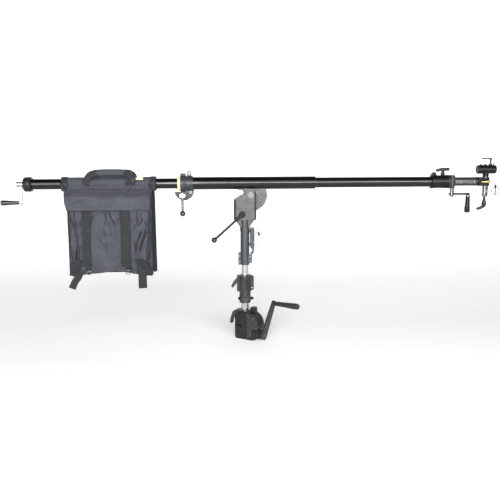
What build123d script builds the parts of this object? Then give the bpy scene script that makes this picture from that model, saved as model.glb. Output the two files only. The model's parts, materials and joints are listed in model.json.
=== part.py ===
from build123d import *

import os
from math import atan2, cos, pi, radians, sin, tan

# Geared lighting boom with a counterweight bag, on the winch head of a wind-up stand.
# Millimetres, +Z up, +X along the boom towards the lamp head. The origin is the centre of the mouth
# of the mast socket, on the underside of the winch housing.

os.makedirs("parts", exist_ok=True)

# ---- driving dimensions -------------------------------------------------------------------------
BOOM_Z = 700.0  # height of the boom axis above the winch underside
PIVOT_X, PIVOT_Z = 26.0, 648.0  # tilt pivot
WINCH_TURN = radians(33.0)  # how far the winch is turned about the mast

OUTER_R, OUTER_BORE = 27.5, 25.0  # fixed boom tube
INNER_R, INNER_BORE = 22.5, 20.5  # sliding boom tube
FRONT_R, FRONT_BORE = 19.0, 13.0  # racked front tube
OUTER_START, OUTER_END = -256.0, 310.0
INNER_START, INNER_END = -931.0, 895.0
FRONT_START, FRONT_END = -840.0, 1037.0
DRIVE_R, DRIVE_SQUARE = 11.0, 12.0  # square drive shaft and the tube round it
SLIDE_FIT = 0.06  # radial clearance of tubes in their bushes
SHAFT_FIT = 0.05  # radial clearance of shafts in their bores

MODULE_RISER, MODULE_FRONT = 2.0, 1.5
ADDENDUM, DEDENDUM = 0.8, 1.0  # stub teeth, in modules
RACK_TIP = 18.8  # how far the front rack's tooth tips stand from the boom axis
RACK_WIDTH = 14.0

RISER_2_R, RISER_2_BORE = 17.5, 15.4
RISER_1_R, RISER_1_BORE = 15.0, 12.0
SOCKET_R, SOCKET_DEPTH = 20.0, 40.0  # mast socket
WORM_Y, WORM_Z = -30.0, 31.0  # crank axis, in the winch's own directions
WHEEL_Z = 64.0
CRANK_LENGTH, CRANK_LEAN = 155.0, radians(36.5)
CRANK_HUB_R, CRANK_TIP_R = 21.0, 13.0
HEAD_X = 1078.0  # vertical axis of the lamp head
SOCKET_AXIS = 53.0  # lamp socket above the boom axis

# directions of the winch: ACROSS points along the crank shaft, DEPTH away from the gear cover
ACROSS = Vector(cos(WINCH_TURN), -sin(WINCH_TURN), 0)
DEPTH = Vector(sin(WINCH_TURN), cos(WINCH_TURN), 0)
UP = Vector(0, 0, 1)

WINCH_FLOOR = Plane(origin=(0, 0, 0), x_dir=ACROSS, z_dir=UP)
BOOM_SIDE = Plane(origin=(0, 0, BOOM_Z), x_dir=(1, 0, 0), z_dir=(0, -1, 0))


def boom_station(x):
    """Plane square to the boom at x: local x is +Y, local y is +Z, extrusions run along +X."""
    return Plane(origin=(x, 0, BOOM_Z), x_dir=(0, 1, 0), z_dir=(1, 0, 0))


def side_plane(y):
    """Plane square to Y at y: local x is +X, local y is height, extrusions run along -Y."""
    return Plane(origin=(0, y, 0), x_dir=(1, 0, 0), z_dir=(0, -1, 0))


def cross_plane(x, y, z):
    """Plane square to X through (x, y, z): local x is +Y, local y is +Z, extrusions run along +X."""
    return Plane(origin=(x, y, z), x_dir=(0, 1, 0), z_dir=(1, 0, 0))


def gear_face(depth, across=0.0, z=0.0):
    """Plane parallel to the gear cover: local x is ACROSS, local y is height, extrudes forwards."""
    return Plane(origin=DEPTH * depth + ACROSS * across + UP * z, x_dir=ACROSS, z_dir=-DEPTH)


def crank_face(across):
    """Plane square to the crank shaft, centred on it: extrudes along ACROSS."""
    origin = ACROSS * across + DEPTH * WORM_Y + UP * WORM_Z
    return Plane(origin=origin, x_dir=DEPTH, z_dir=ACROSS)


def level(z, x=0.0, y=0.0):
    """Horizontal plane through (x, y, z)."""
    return Plane(origin=(x, y, z))


def gear_points(teeth, module, first=0.0):
    """Outline of a gear with straight stub teeth, one tooth centred at the angle first."""
    pitch_r = module * teeth / 2
    step = 2 * pi / teeth
    root_r, tip_r = pitch_r - DEDENDUM * module, pitch_r + ADDENDUM * module
    corners = ((root_r, -0.30), (tip_r, -0.10), (tip_r, 0.10), (root_r, 0.30))
    points = []
    for tooth in range(teeth):
        for radius, share in corners:
            angle = first + (tooth + share) * step
            points.append((radius * cos(angle), radius * sin(angle)))
    return points


def rack_points(start, length, module, back):
    """Outline of a rack along local x with its teeth up; y is 0 on the pitch line."""
    pitch = pi * module
    tip, root = ADDENDUM * module, -DEDENDUM * module
    half_pitch_line = 0.22 * pitch
    half_tip = half_pitch_line - tip * tan(radians(20))
    half_root = half_pitch_line - root * tan(radians(20))
    points = [(start, back), (start, root)]
    for tooth in range(int(length / pitch)):
        middle = start + (tooth + 0.5) * pitch
        points.append((middle - half_root, root))
        points.append((middle - half_tip, tip))
        points.append((middle + half_tip, tip))
        points.append((middle + half_root, root))
    points.append((start + length, root))
    points.append((start + length, back))
    return points


# ---- winch: housing and cover -------------------------------------------------------------------
WHEEL_TEETH, PINION_TEETH = 24, 14
PINION_R = MODULE_RISER * PINION_TEETH / 2
RACK_LINE = 19.6  # pitch line of the riser's rack
IDLER_X = RACK_LINE + PINION_R
WHEEL_X = IDLER_X + 2 * PINION_R
GEARBOX_CENTRE, GEARBOX_R = (33.0, 68.0), 58.0
GEARBOX_BACK, GEARBOX_FRONT = 14.0, -40.0
GEARBOX_LEFT = 34.0
WHEEL_BACK, WHEEL_WIDTH = -25.0, 10.0
BUSH_WALL = 2.0
SHAFT_R = 6.0
CLAMP_X, CLAMP_Z = -38.0, 114.0  # bolt of the riser lock

with BuildPart() as winch_housing:
    with BuildSketch(WINCH_FLOOR):
        with Locations((17, -10)):
            RectangleRounded(98, 60, 9)
    extrude(amount=56)
    with BuildSketch(WINCH_FLOOR):
        Circle(27)
    extrude(amount=126)
    with BuildSketch(gear_face(GEARBOX_BACK)):
        with Locations(GEARBOX_CENTRE):
            Circle(GEARBOX_R)
        with Locations((GEARBOX_LEFT - 60, 80)):
            Rectangle(120, 170, mode=Mode.SUBTRACT)
        with Locations((22, 68)):
            Rectangle(30, 100)
    extrude(amount=GEARBOX_BACK - GEARBOX_FRONT)
    with BuildSketch(crank_face(58)):
        RectangleRounded(34, 38, 8)
    extrude(amount=40)
    # lug on top of the gearbox
    with BuildSketch(gear_face(8)):
        with Locations((46, 128)):
            RectangleRounded(26, 36, 6)
    extrude(amount=18)
    # split ear that the riser lock lever squeezes
    with BuildSketch(gear_face(20)):
        with Locations((CLAMP_X + 8, CLAMP_Z - 8)):
            RectangleRounded(34, 38, 7)
    extrude(amount=40)
    with BuildSketch(gear_face(20)):
        with Locations((-32, 48)):
            RectangleRounded(24, 96, 5)
    extrude(amount=38)
    # mast socket, then the riser's bore with its rack groove
    with BuildSketch(WINCH_FLOOR):
        Circle(SOCKET_R)
    extrude(amount=SOCKET_DEPTH, mode=Mode.SUBTRACT)
    with BuildSketch(WINCH_FLOOR.offset(SOCKET_DEPTH)):
        Circle(RISER_2_R + SLIDE_FIT)
        with Locations((RISER_2_R, 0)):
            Rectangle(8.4, 11)
    extrude(amount=100, mode=Mode.SUBTRACT)
    # slit in the clamp ear
    with BuildSketch(WINCH_FLOOR.offset(86)):
        with Locations((-40, 0)):
            Rectangle(46, 4)
    extrude(amount=60, mode=Mode.SUBTRACT)
    # gear chambers
    with BuildSketch(gear_face(WHEEL_BACK + 1)):
        with Locations((WHEEL_X, WHEEL_Z)):
            Circle(27)
    extrude(amount=WHEEL_BACK + 1 - GEARBOX_FRONT, mode=Mode.SUBTRACT)
    with BuildSketch(gear_face(8)):
        with Locations((IDLER_X, WHEEL_Z), (WHEEL_X, WHEEL_Z)):
            Circle(PINION_R + 2.2)
    extrude(amount=16, mode=Mode.SUBTRACT)
    with BuildSketch(crank_face(WHEEL_X - 15)):
        Circle(10.5)
    extrude(amount=30, mode=Mode.SUBTRACT)
    # bearing bores
    with BuildSketch(gear_face(12)):
        with Locations((WHEEL_X, WHEEL_Z)):
            Circle(SHAFT_R + BUSH_WALL)
        with Locations((IDLER_X, WHEEL_Z)):
            Circle(4 + SHAFT_FIT)
    extrude(amount=4.5, mode=Mode.SUBTRACT)
    with BuildSketch(gear_face(-8)):
        with Locations((WHEEL_X, WHEEL_Z)):
            Circle(SHAFT_R + BUSH_WALL)
    extrude(amount=17, mode=Mode.SUBTRACT)
    with BuildSketch(gear_face(-8)):
        with Locations((IDLER_X, WHEEL_Z)):
            Circle(4 + SHAFT_FIT)
    extrude(amount=8, mode=Mode.SUBTRACT)
    with BuildSketch(crank_face(WHEEL_X + 14)):
        Circle(SHAFT_R + BUSH_WALL)
    extrude(amount=60, mode=Mode.SUBTRACT)
    with BuildSketch(crank_face(WHEEL_X - 24)):
        Circle(SHAFT_R + BUSH_WALL)
    extrude(amount=10, mode=Mode.SUBTRACT)
    # bore for the riser lock lever's bolt
    with BuildSketch(gear_face(24)):
        with Locations((CLAMP_X, CLAMP_Z)):
            Circle(4.1)
    extrude(amount=60, mode=Mode.SUBTRACT)
winch_housing.part.label = "winch_housing"
export_step(winch_housing.part, "parts/winch_housing.step")

COVER_SCREWS = [(40, 118), (72, 106), (84, 62), (41, 17)]
WORM_NOTCH = (87.0, 22.0)  # centre of the square corner that the worm boss takes from the cover
with BuildPart() as gear_cover:
    with BuildSketch(gear_face(GEARBOX_FRONT)):
        with Locations(GEARBOX_CENTRE):
            Circle(GEARBOX_R - 1)
        with Locations((GEARBOX_LEFT - 60, 80)):
            Rectangle(120, 170, mode=Mode.SUBTRACT)
        with Locations(WORM_NOTCH):
            Rectangle(60, 60, mode=Mode.SUBTRACT)
    extrude(amount=5)
    with BuildSketch(gear_face(GEARBOX_FRONT - 5)):
        with Locations(GEARBOX_CENTRE):
            Circle(GEARBOX_R - 8)
        with Locations((GEARBOX_LEFT - 54, 80)):
            Rectangle(120, 170, mode=Mode.SUBTRACT)
        with Locations(WORM_NOTCH):
            Rectangle(68, 68, mode=Mode.SUBTRACT)
    extrude(amount=3)
    chamfer(gear_cover.faces().sort_by(Axis((0, 0, 0), -DEPTH))[-1].edges(), 1.2)
    with BuildSketch(gear_face(GEARBOX_FRONT)):
        with Locations(*COVER_SCREWS):
            Circle(2.5)
    extrude(amount=12, mode=Mode.SUBTRACT)
gear_cover.part.label = "gear_cover"
export_step(gear_cover.part, "parts/gear_cover.step")

with BuildPart() as cover_screws:
    with BuildSketch(gear_face(GEARBOX_FRONT)):
        with Locations(*COVER_SCREWS):
            Circle(2.5)
    extrude(amount=8)
    with BuildSketch(gear_face(GEARBOX_FRONT - 8)):
        with Locations(*COVER_SCREWS):
            Circle(4.5)
    extrude(amount=2.6)
    with BuildSketch(gear_face(GEARBOX_FRONT - 9.4)):
        with Locations(*COVER_SCREWS):
            Rectangle(7, 1.2)
    extrude(amount=2, mode=Mode.SUBTRACT)
cover_screws.part.label = "cover_screws"
export_step(cover_screws.part, "parts/cover_screws.step")

# ---- winch: shafts and gears --------------------------------------------------------------------
with BuildPart() as winch_bushes:
    for start, length in ((WHEEL_X + 15.5, 14), (WHEEL_X - 24, 8.5)):
        with BuildSketch(crank_face(start)):
            Circle(SHAFT_R + BUSH_WALL)
            Circle(SHAFT_R + SHAFT_FIT, mode=Mode.SUBTRACT)
        extrude(amount=length)
    for start, length in ((12, 3.6), (-9, 14)):
        with BuildSketch(gear_face(start)):
            with Locations((WHEEL_X, WHEEL_Z)):
                Circle(SHAFT_R + BUSH_WALL)
                Circle(SHAFT_R + SHAFT_FIT, mode=Mode.SUBTRACT)
        extrude(amount=length)
winch_bushes.part.label = "winch_bushes"
export_step(winch_bushes.part, "parts/winch_bushes.step")

CRANK_START = 108.0  # where the crank arm sits along its shaft
CRANK_THICK = 10.0
with BuildPart() as worm_shaft:
    with BuildSketch(crank_face(WHEEL_X - 22)):
        Circle(SHAFT_R)
    extrude(amount=CRANK_START + CRANK_THICK + 22 - WHEEL_X)
    with BuildSketch(crank_face(WHEEL_X - 13)):
        Circle(8.4)
    extrude(amount=26)
    for groove in range(4):
        with BuildSketch(crank_face(WHEEL_X - 9.4 + groove * pi * MODULE_RISER - 1.4)):
            Circle(9.0)
            Circle(6.6, mode=Mode.SUBTRACT)
        extrude(amount=2.8, mode=Mode.SUBTRACT)
worm_shaft.part.label = "worm_shaft"
export_step(worm_shaft.part, "parts/worm_shaft.step")

GEAR_PHASE = pi / PINION_TEETH
with BuildPart() as winch_gear:
    with BuildSketch(gear_face(WHEEL_BACK, WHEEL_X, WHEEL_Z)):
        with BuildLine():
            Polyline(*gear_points(WHEEL_TEETH, MODULE_RISER * 0.9), close=True)
        make_face()
    extrude(amount=WHEEL_WIDTH)
    with BuildSketch(gear_face(7, WHEEL_X, WHEEL_Z)):
        with BuildLine():
            Polyline(*gear_points(PINION_TEETH, MODULE_RISER, GEAR_PHASE), close=True)
        make_face()
    extrude(amount=14)
    with BuildSketch(gear_face(11.5, WHEEL_X, WHEEL_Z)):
        Circle(SHAFT_R)
    extrude(amount=49)
winch_gear.part.label = "winch_gear"
export_step(winch_gear.part, "parts/winch_gear.step")

with BuildPart() as rack_gear:
    with BuildSketch(gear_face(7, IDLER_X, WHEEL_Z)):
        with BuildLine():
            Polyline(*gear_points(PINION_TEETH, MODULE_RISER), close=True)
        make_face()
    extrude(amount=14)
    with BuildSketch(gear_face(11.5, IDLER_X, WHEEL_Z)):
        Circle(4)
    extrude(amount=26)
rack_gear.part.label = "rack_gear"
export_step(rack_gear.part, "parts/rack_gear.step")

# ---- winch: crank and riser lock lever ----------------------------------------------------------
PIN_DEPTH = WORM_Y + CRANK_LENGTH * sin(CRANK_LEAN)
PIN_Z = WORM_Z + CRANK_LENGTH * cos(CRANK_LEAN)
GRIP_START = CRANK_START + CRANK_THICK + 2
WINCH_GRIP_LENGTH = 117.0


def grip_axis(across):
    """Plane square to the winch grip, centred on its pin."""
    origin = ACROSS * across + DEPTH * PIN_DEPTH + UP * PIN_Z
    return Plane(origin=origin, x_dir=DEPTH, z_dir=ACROSS)


# the arm's ends, measured square to its lean
hub_across, hub_along = CRANK_HUB_R * cos(-CRANK_LEAN), CRANK_HUB_R * sin(-CRANK_LEAN)
tip_across, tip_along = CRANK_TIP_R * cos(-CRANK_LEAN), CRANK_TIP_R * sin(-CRANK_LEAN)
pin_across, pin_along = PIN_DEPTH - WORM_Y, PIN_Z - WORM_Z

with BuildPart() as winch_crank_arm:
    with BuildSketch(crank_face(CRANK_START)):
        with BuildLine():
            Polyline(
                (hub_across, hub_along),
                (pin_across + tip_across, pin_along + tip_along),
                (pin_across - tip_across, pin_along - tip_along),
                (-hub_across, -hub_along),
                close=True,
            )
        make_face()
        Circle(CRANK_HUB_R)
        with Locations((PIN_DEPTH - WORM_Y, PIN_Z - WORM_Z)):
            Circle(CRANK_TIP_R)
    extrude(amount=CRANK_THICK)
    with BuildSketch(crank_face(CRANK_START)):
        Circle(SHAFT_R)
    extrude(amount=CRANK_THICK, mode=Mode.SUBTRACT)
    # pin that the grip turns on, with its head
    with BuildSketch(grip_axis(CRANK_START + CRANK_THICK)):
        Circle(4)
    extrude(amount=WINCH_GRIP_LENGTH + 4)
    with BuildSketch(grip_axis(GRIP_START + WINCH_GRIP_LENGTH + 0.5)):
        Circle(7)
    extrude(amount=3)
winch_crank_arm.part.label = "winch_crank_arm"
export_step(winch_crank_arm.part, "parts/winch_crank_arm.step")


def grip_profile(length, root_r, belly_r, end_r, bore_r):
    """Half section of a turned grip along local x, hollow on its pin, y is the radius."""
    return [
        (0, bore_r), (0, root_r), (length * 0.08, root_r + 0.8), (length * 0.45, (root_r + belly_r) / 2),
        (length * 0.8, belly_r), (length * 0.95, belly_r), (length, end_r), (length, bore_r),
    ]


with BuildPart() as winch_grip:
    grip_origin = ACROSS * GRIP_START + DEPTH * PIN_DEPTH + UP * PIN_Z
    with BuildSketch(Plane(origin=grip_origin, x_dir=ACROSS, z_dir=-DEPTH)):
        with BuildLine():
            Polyline(*grip_profile(WINCH_GRIP_LENGTH, 9.0, 13.5, 11.5, 4 + SHAFT_FIT), close=True)
        make_face()
    revolve(axis=Axis(grip_origin, ACROSS))
winch_grip.part.label = "winch_grip"
export_step(winch_grip.part, "parts/winch_grip.step")

with BuildPart() as riser_lock_lever:
    with BuildSketch(gear_face(22)):
        with Locations((CLAMP_X, CLAMP_Z)):
            Circle(4)
    extrude(amount=56)
    with BuildSketch(gear_face(-20.4)):
        with Locations((CLAMP_X, CLAMP_Z)):
            Circle(10)
        with BuildLine():
            Polyline(
                (CLAMP_X - 9, CLAMP_Z + 6), (CLAMP_X - 20, CLAMP_Z - 26), (CLAMP_X - 24, CLAMP_Z - 48),
                (CLAMP_X - 13, CLAMP_Z - 50), (CLAMP_X - 8, CLAMP_Z - 24), (CLAMP_X + 7, CLAMP_Z - 7),
                close=True,
            )
        make_face()
    extrude(amount=12)
riser_lock_lever.part.label = "riser_lock_lever"
export_step(riser_lock_lever.part, "parts/riser_lock_lever.step")

# ---- risers and riser collar --------------------------------------------------------------------
RISER_2_START, RISER_2_END = 44.0, 272.0
RACK_END = 158.0
COLLAR_Z, COLLAR_STEP, COLLAR_TOP = 162.0, 213.0, 287.0
CROSS_Z, CROSS_Y = 186.0, -26.5
COLLAR_LEVER_AT, LEVER_BORE_END = (-31.0, 277.0), 2.0
COLLAR_LATCH_AT, LATCH_BORE_END = (7.0, 262.0), 18.5

with BuildPart() as lower_riser:
    with BuildSketch(level(RISER_2_START)):
        Circle(RISER_2_R)
        Circle(RISER_2_BORE, mode=Mode.SUBTRACT)
    extrude(amount=RISER_2_END - RISER_2_START)
    # flat for the rack, then the rack brazed to it with its teeth towards the gearbox
    with BuildSketch(WINCH_FLOOR.offset(RISER_2_START)):
        with Locations((RACK_LINE + 5 - DEDENDUM * MODULE_RISER - 1, 0)):
            Rectangle(10, 11)
    extrude(amount=RACK_END - RISER_2_START, mode=Mode.SUBTRACT)
    gap_at_gear = (WHEEL_Z - RISER_2_START) % (pi * MODULE_RISER)
    rack_origin = ACROSS * RACK_LINE - DEPTH * 5 + UP * RISER_2_START
    with BuildSketch(Plane(origin=rack_origin, x_dir=UP, z_dir=DEPTH)):
        with BuildLine():
            rack_run = RACK_END - RISER_2_START - gap_at_gear
            Polyline(*rack_points(gap_at_gear, rack_run, MODULE_RISER, -3.1), close=True)
        make_face()
    extrude(amount=10)
lower_riser.part.label = "lower_riser"
export_step(lower_riser.part, "parts/lower_riser.step")

with BuildPart() as riser_collar:
    with BuildSketch(level(COLLAR_Z)):
        Circle(25.5)
    extrude(amount=COLLAR_STEP - 1 - COLLAR_Z)
    with BuildSketch(level(COLLAR_STEP - 1)):
        Circle(23.5)
    extrude(amount=2)
    with BuildSketch(level(COLLAR_STEP + 1)):
        Circle(27.5)
        with Locations((-24, 0)):
            RectangleRounded(24, 24, 4)
    extrude(amount=COLLAR_TOP - COLLAR_STEP - 1)
    # ear with a loop for a safety line
    with BuildSketch(side_plane(8)):
        with Locations((27, 252)):
            RectangleRounded(25, 68, 9)
        with Locations((31.5, 229)):
            Circle(4.2, mode=Mode.SUBTRACT)
    extrude(amount=16)
    # lug for the cross bolt, in front of the riser
    with BuildSketch(side_plane(-14)):
        with Locations((0, CROSS_Z)):
            RectangleRounded(34, 26, 5)
    extrude(amount=20)
    with BuildSketch(level(COLLAR_Z)):
        Circle(RISER_2_R)
    extrude(amount=RISER_2_END - COLLAR_Z, mode=Mode.SUBTRACT)
    with BuildSketch(level(RISER_2_END)):
        Circle(RISER_1_R + SLIDE_FIT)
    extrude(amount=COLLAR_TOP - RISER_2_END, mode=Mode.SUBTRACT)
    # clamp slit and the bolt's bore
    with BuildSketch(level(COLLAR_Z)):
        with Locations((0, -24)):
            Rectangle(2.5, 20)
    extrude(amount=COLLAR_STEP - 2 - COLLAR_Z, mode=Mode.SUBTRACT)
    with BuildSketch(cross_plane(-30, CROSS_Y, CROSS_Z)):
        Circle(4)
    extrude(amount=60, mode=Mode.SUBTRACT)
    # blind bores for the screws of the lever and the latch
    with BuildSketch(side_plane(-LEVER_BORE_END)):
        with Locations(COLLAR_LEVER_AT):
            Circle(3 + SHAFT_FIT)
    extrude(amount=20, mode=Mode.SUBTRACT)
    with BuildSketch(side_plane(-LATCH_BORE_END)):
        with Locations(COLLAR_LATCH_AT):
            Circle(3 + SHAFT_FIT)
    extrude(amount=20, mode=Mode.SUBTRACT)
riser_collar.part.label = "riser_collar"
export_step(riser_collar.part, "parts/riser_collar.step")

with BuildPart() as collar_cross_bolt:
    with BuildSketch(cross_plane(-17.2, CROSS_Y, CROSS_Z)):
        Circle(4)
    extrude(amount=34.4)
    for start, length in ((-33, 15.8), (17.2, 19)):
        with BuildSketch(cross_plane(start, CROSS_Y, CROSS_Z)):
            Circle(7)
        extrude(amount=length)
    fillet(collar_cross_bolt.faces().sort_by(Axis.X)[0].edges(), 4)
    fillet(collar_cross_bolt.faces().sort_by(Axis.X)[-1].edges(), 4)
collar_cross_bolt.part.label = "collar_cross_bolt"
export_step(collar_cross_bolt.part, "parts/collar_cross_bolt.step")

with BuildPart() as collar_lever:
    with BuildSketch(side_plane(-LEVER_BORE_END - 0.5)):
        with Locations(COLLAR_LEVER_AT):
            Circle(3)
    extrude(amount=14)
    with BuildSketch(side_plane(-12.4)):
        with Locations(COLLAR_LEVER_AT):
            Circle(6.2)
        with BuildLine():
            Polyline((-27.5, 282), (-35, 281.5), (-51, 264), (-63, 241), (-56, 234), (-44, 249),
                     (-34, 259), (-26.5, 272.5), close=True)
        make_face()
    extrude(amount=11)
collar_lever.part.label = "collar_lever"
export_step(collar_lever.part, "parts/collar_lever.step")

with BuildPart() as collar_latch:
    with BuildSketch(side_plane(-LATCH_BORE_END - 0.5)):
        with Locations(COLLAR_LATCH_AT):
            Circle(3)
    extrude(amount=11)
    with BuildSketch(side_plane(-27.9)):
        with Locations(COLLAR_LATCH_AT):
            Circle(7)
        with BuildLine():
            Polyline((0, 274), (6, 276), (14, 262), (9, 250), (16, 238), (10, 226), (4, 228),
                     (8, 238), (1, 250), (4, 261), close=True)
        make_face()
    extrude(amount=5)
collar_latch.part.label = "collar_latch"
export_step(collar_latch.part, "parts/collar_latch.step")

RISER_1_START, RISER_1_END = 90.0, 478.0
with BuildPart() as upper_riser:
    with BuildSketch(level(RISER_1_START)):
        Circle(RISER_1_R)
        Circle(RISER_1_BORE, mode=Mode.SUBTRACT)
    extrude(amount=RISER_1_END - RISER_1_START)
    # foot bush that guides it inside the lower riser
    with BuildSketch(level(RISER_1_START)):
        Circle(RISER_2_BORE - SLIDE_FIT)
        Circle(RISER_1_BORE, mode=Mode.SUBTRACT)
    extrude(amount=16)
upper_riser.part.label = "upper_riser"
export_step(upper_riser.part, "parts/upper_riser.step")

# ---- stand sleeve and yoke ----------------------------------------------------------------------
SLEEVE_Z, SLEEVE_TOP, SLEEVE_R = 336.0, 505.0, 20.0
YOKE_Z, YOKE_SHOULDER, YOKE_FLOOR = 539.0, 626.0, 552.0
YOKE_HALF, YOKE_SLOT = 25.0, 13.0  # half width over the cheeks and between them
YOKE_LEFT, YOKE_RIGHT = -48.4, 50.2
EYE_R = 23.5  # round head of the cheeks about the pivot
TILT_LEVER_X, TILT_LEVER_Z = -12.0, 565.0
SLEEVE_BOLTS_LEFT, SLEEVE_BOLTS_RIGHT = [(-24, 351), (-24, 377)], [(23, 357), (23, 373)]

with BuildPart() as stand_sleeve:
    with BuildSketch(level(SLEEVE_Z)):
        Circle(SLEEVE_R)
        with Locations((-21, 0)):
            RectangleRounded(16, 14, 2)
    extrude(amount=55)
    with BuildSketch(level(SLEEVE_Z + 10)):
        with Locations((21, -8)):
            RectangleRounded(20, 16, 3)
    extrude(amount=36)
    with BuildSketch(level(SLEEVE_Z + 20)):
        Circle(SLEEVE_R)
    extrude(amount=SLEEVE_TOP - SLEEVE_Z - 20)
    with BuildSketch(level(488)):
        Circle(22)
    extrude(amount=SLEEVE_TOP - 488)
    with BuildSketch(level(SLEEVE_Z)):
        Circle(RISER_1_R + SLIDE_FIT)
    extrude(amount=482 - SLEEVE_Z, mode=Mode.SUBTRACT)
    with BuildSketch(level(482)):
        Circle(14)
    extrude(amount=30, mode=Mode.SUBTRACT)
    # clamping slits
    with BuildSketch(level(SLEEVE_Z)):
        with Locations((21, -8), (-21, 0)):
            Rectangle(24, 3)
    extrude(amount=56, mode=Mode.SUBTRACT)
    for spots, y, depth in ((SLEEVE_BOLTS_LEFT, 8, 16), (SLEEVE_BOLTS_RIGHT, 2, 20)):
        with BuildSketch(side_plane(y)):
            with Locations(*spots):
                Circle(2.5)
        extrude(amount=depth, mode=Mode.SUBTRACT)
stand_sleeve.part.label = "stand_sleeve"
export_step(stand_sleeve.part, "parts/stand_sleeve.step")

with BuildPart() as sleeve_bolts:
    for spots, y, depth in ((SLEEVE_BOLTS_LEFT, 7, 14), (SLEEVE_BOLTS_RIGHT, 0, 16)):
        with BuildSketch(side_plane(y)):
            with Locations(*spots):
                Circle(2.5)
        extrude(amount=depth)
        with BuildSketch(side_plane(y - depth)):
            with Locations(*spots):
                Circle(4.5)
        extrude(amount=4)
sleeve_bolts.part.label = "sleeve_bolts"
export_step(sleeve_bolts.part, "parts/sleeve_bolts.step")

BRACKET_X = 33.0
with BuildPart() as sleeve_bracket:
    with BuildSketch(level(417)):
        with Locations((BRACKET_X, 0)):
            RectangleRounded(20, 16, 5)
    extrude(amount=78)
    with BuildSketch(level(495)):
        with Locations((BRACKET_X - 2, 0)):
            RectangleRounded(14, 12, 5)
    extrude(amount=8)
    # feet that hold it to the sleeve
    with BuildSketch(side_plane(5)):
        with Locations((23, 486), (23, 428)):
            Rectangle(12, 12)
    extrude(amount=10)
    # hook under the bar
    with BuildSketch(side_plane(4)):
        with BuildLine():
            Polyline((25, 420), (41, 420), (41, 396), (35, 383), (25, 383), (25, 392), (32, 394),
                     (33, 404), (25, 412), close=True)
        make_face()
    extrude(amount=8)
    with BuildSketch(level(SLEEVE_Z)):
        Circle(SLEEVE_R)
    extrude(amount=SLEEVE_TOP - SLEEVE_Z, mode=Mode.SUBTRACT)
    with BuildSketch(level(488)):
        Circle(22)
    extrude(amount=SLEEVE_TOP - 488, mode=Mode.SUBTRACT)
sleeve_bracket.part.label = "sleeve_bracket"
export_step(sleeve_bracket.part, "parts/sleeve_bracket.step")

with BuildPart() as bracket_wire:
    with BuildLine():
        wire_path = FilletPolyline(
            (BRACKET_X + 7.5, 0, 495), (BRACKET_X + 7.5, 0, 503), (BRACKET_X + 17, -3, 506),
            (BRACKET_X + 24, -5, 493), (BRACKET_X + 26, -6, 482), radius=5,
        )
    with BuildSketch(Plane(origin=wire_path @ 0, z_dir=wire_path % 0)):
        Circle(1.2)
    sweep()
    with BuildSketch(side_plane(-2)):
        with BuildLine():
            Polyline((BRACKET_X + 22, 484), (BRACKET_X + 30, 484), (BRACKET_X + 36, 470),
                     (BRACKET_X + 25, 468), close=True)
        make_face()
    extrude(amount=8)
bracket_wire.part.label = "bracket_wire"
export_step(bracket_wire.part, "parts/bracket_wire.step")

with BuildPart() as yoke:
    with BuildSketch(side_plane(YOKE_HALF)):
        with BuildLine():
            Line((YOKE_LEFT, YOKE_Z), (YOKE_RIGHT, YOKE_Z))
            Line((YOKE_RIGHT, YOKE_Z), (YOKE_RIGHT, PIVOT_Z))
            Line((YOKE_RIGHT, PIVOT_Z), (PIVOT_X + EYE_R, PIVOT_Z))
            ThreePointArc((PIVOT_X + EYE_R, PIVOT_Z), (PIVOT_X, PIVOT_Z + EYE_R),
                          (PIVOT_X - EYE_R, PIVOT_Z + 3))
            Polyline((PIVOT_X - EYE_R, PIVOT_Z + 3), (-19, 645), (YOKE_LEFT, YOKE_SHOULDER),
                     (YOKE_LEFT, YOKE_Z))
        make_face()
    extrude(amount=2 * YOKE_HALF)
    chamfer(yoke.edges().filter_by(Axis.Z).group_by(Axis.X)[0], 9)
    chamfer(yoke.edges().filter_by(Axis.Z).group_by(Axis.X)[-1], 9)
    # tapered foot with ribs down to the sleeve
    with BuildSketch(side_plane(9)):
        with BuildLine():
            Polyline((-44, YOKE_Z), (44, YOKE_Z), (20, SLEEVE_TOP), (-20, SLEEVE_TOP), close=True)
        make_face()
    extrude(amount=18)
    with BuildSketch(level(482)):
        Circle(14)
    extrude(amount=YOKE_Z - 482)
    with BuildSketch(level(SLEEVE_TOP)):
        Circle(17)
    extrude(amount=YOKE_Z - SLEEVE_TOP)
    # slot for the tilt disc, open at the top and on the lamp side
    with BuildSketch(side_plane(YOKE_SLOT)):
        with Locations(((-43.9 + 80) / 2, (YOKE_FLOOR + 700) / 2)):
            Rectangle(80 + 43.9, 700 - YOKE_FLOOR)
    extrude(amount=2 * YOKE_SLOT, mode=Mode.SUBTRACT)
    with BuildSketch(side_plane(30)):
        with Locations((PIVOT_X, PIVOT_Z)):
            Circle(8)
        with Locations((TILT_LEVER_X, TILT_LEVER_Z)):
            Circle(6 + SHAFT_FIT)
    extrude(amount=60, mode=Mode.SUBTRACT)
yoke.part.label = "yoke"
export_step(yoke.part, "parts/yoke.step")

with BuildPart() as yoke_bolts:
    # pivot bolt with its washers and heads
    for plane_y, radius, length in ((YOKE_HALF + 10, 8, 2 * YOKE_HALF + 20), (-YOKE_HALF, 14.5, 4),
                                    (-YOKE_HALF - 4, 10, 7), (YOKE_HALF + 4, 14.5, 4),
                                    (YOKE_HALF + 12, 12, 8)):
        with BuildSketch(side_plane(plane_y)):
            with Locations((PIVOT_X, PIVOT_Z)):
                Circle(radius)
        extrude(amount=length)
    # nut of the tilt clamp, on the far cheek
    with BuildSketch(side_plane(YOKE_HALF + 9)):
        with Locations((TILT_LEVER_X, TILT_LEVER_Z)):
            RegularPolygon(11, 6)
            Circle(6 + SHAFT_FIT, mode=Mode.SUBTRACT)
    extrude(amount=9)
yoke_bolts.part.label = "yoke_bolts"
export_step(yoke_bolts.part, "parts/yoke_bolts.step")

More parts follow.
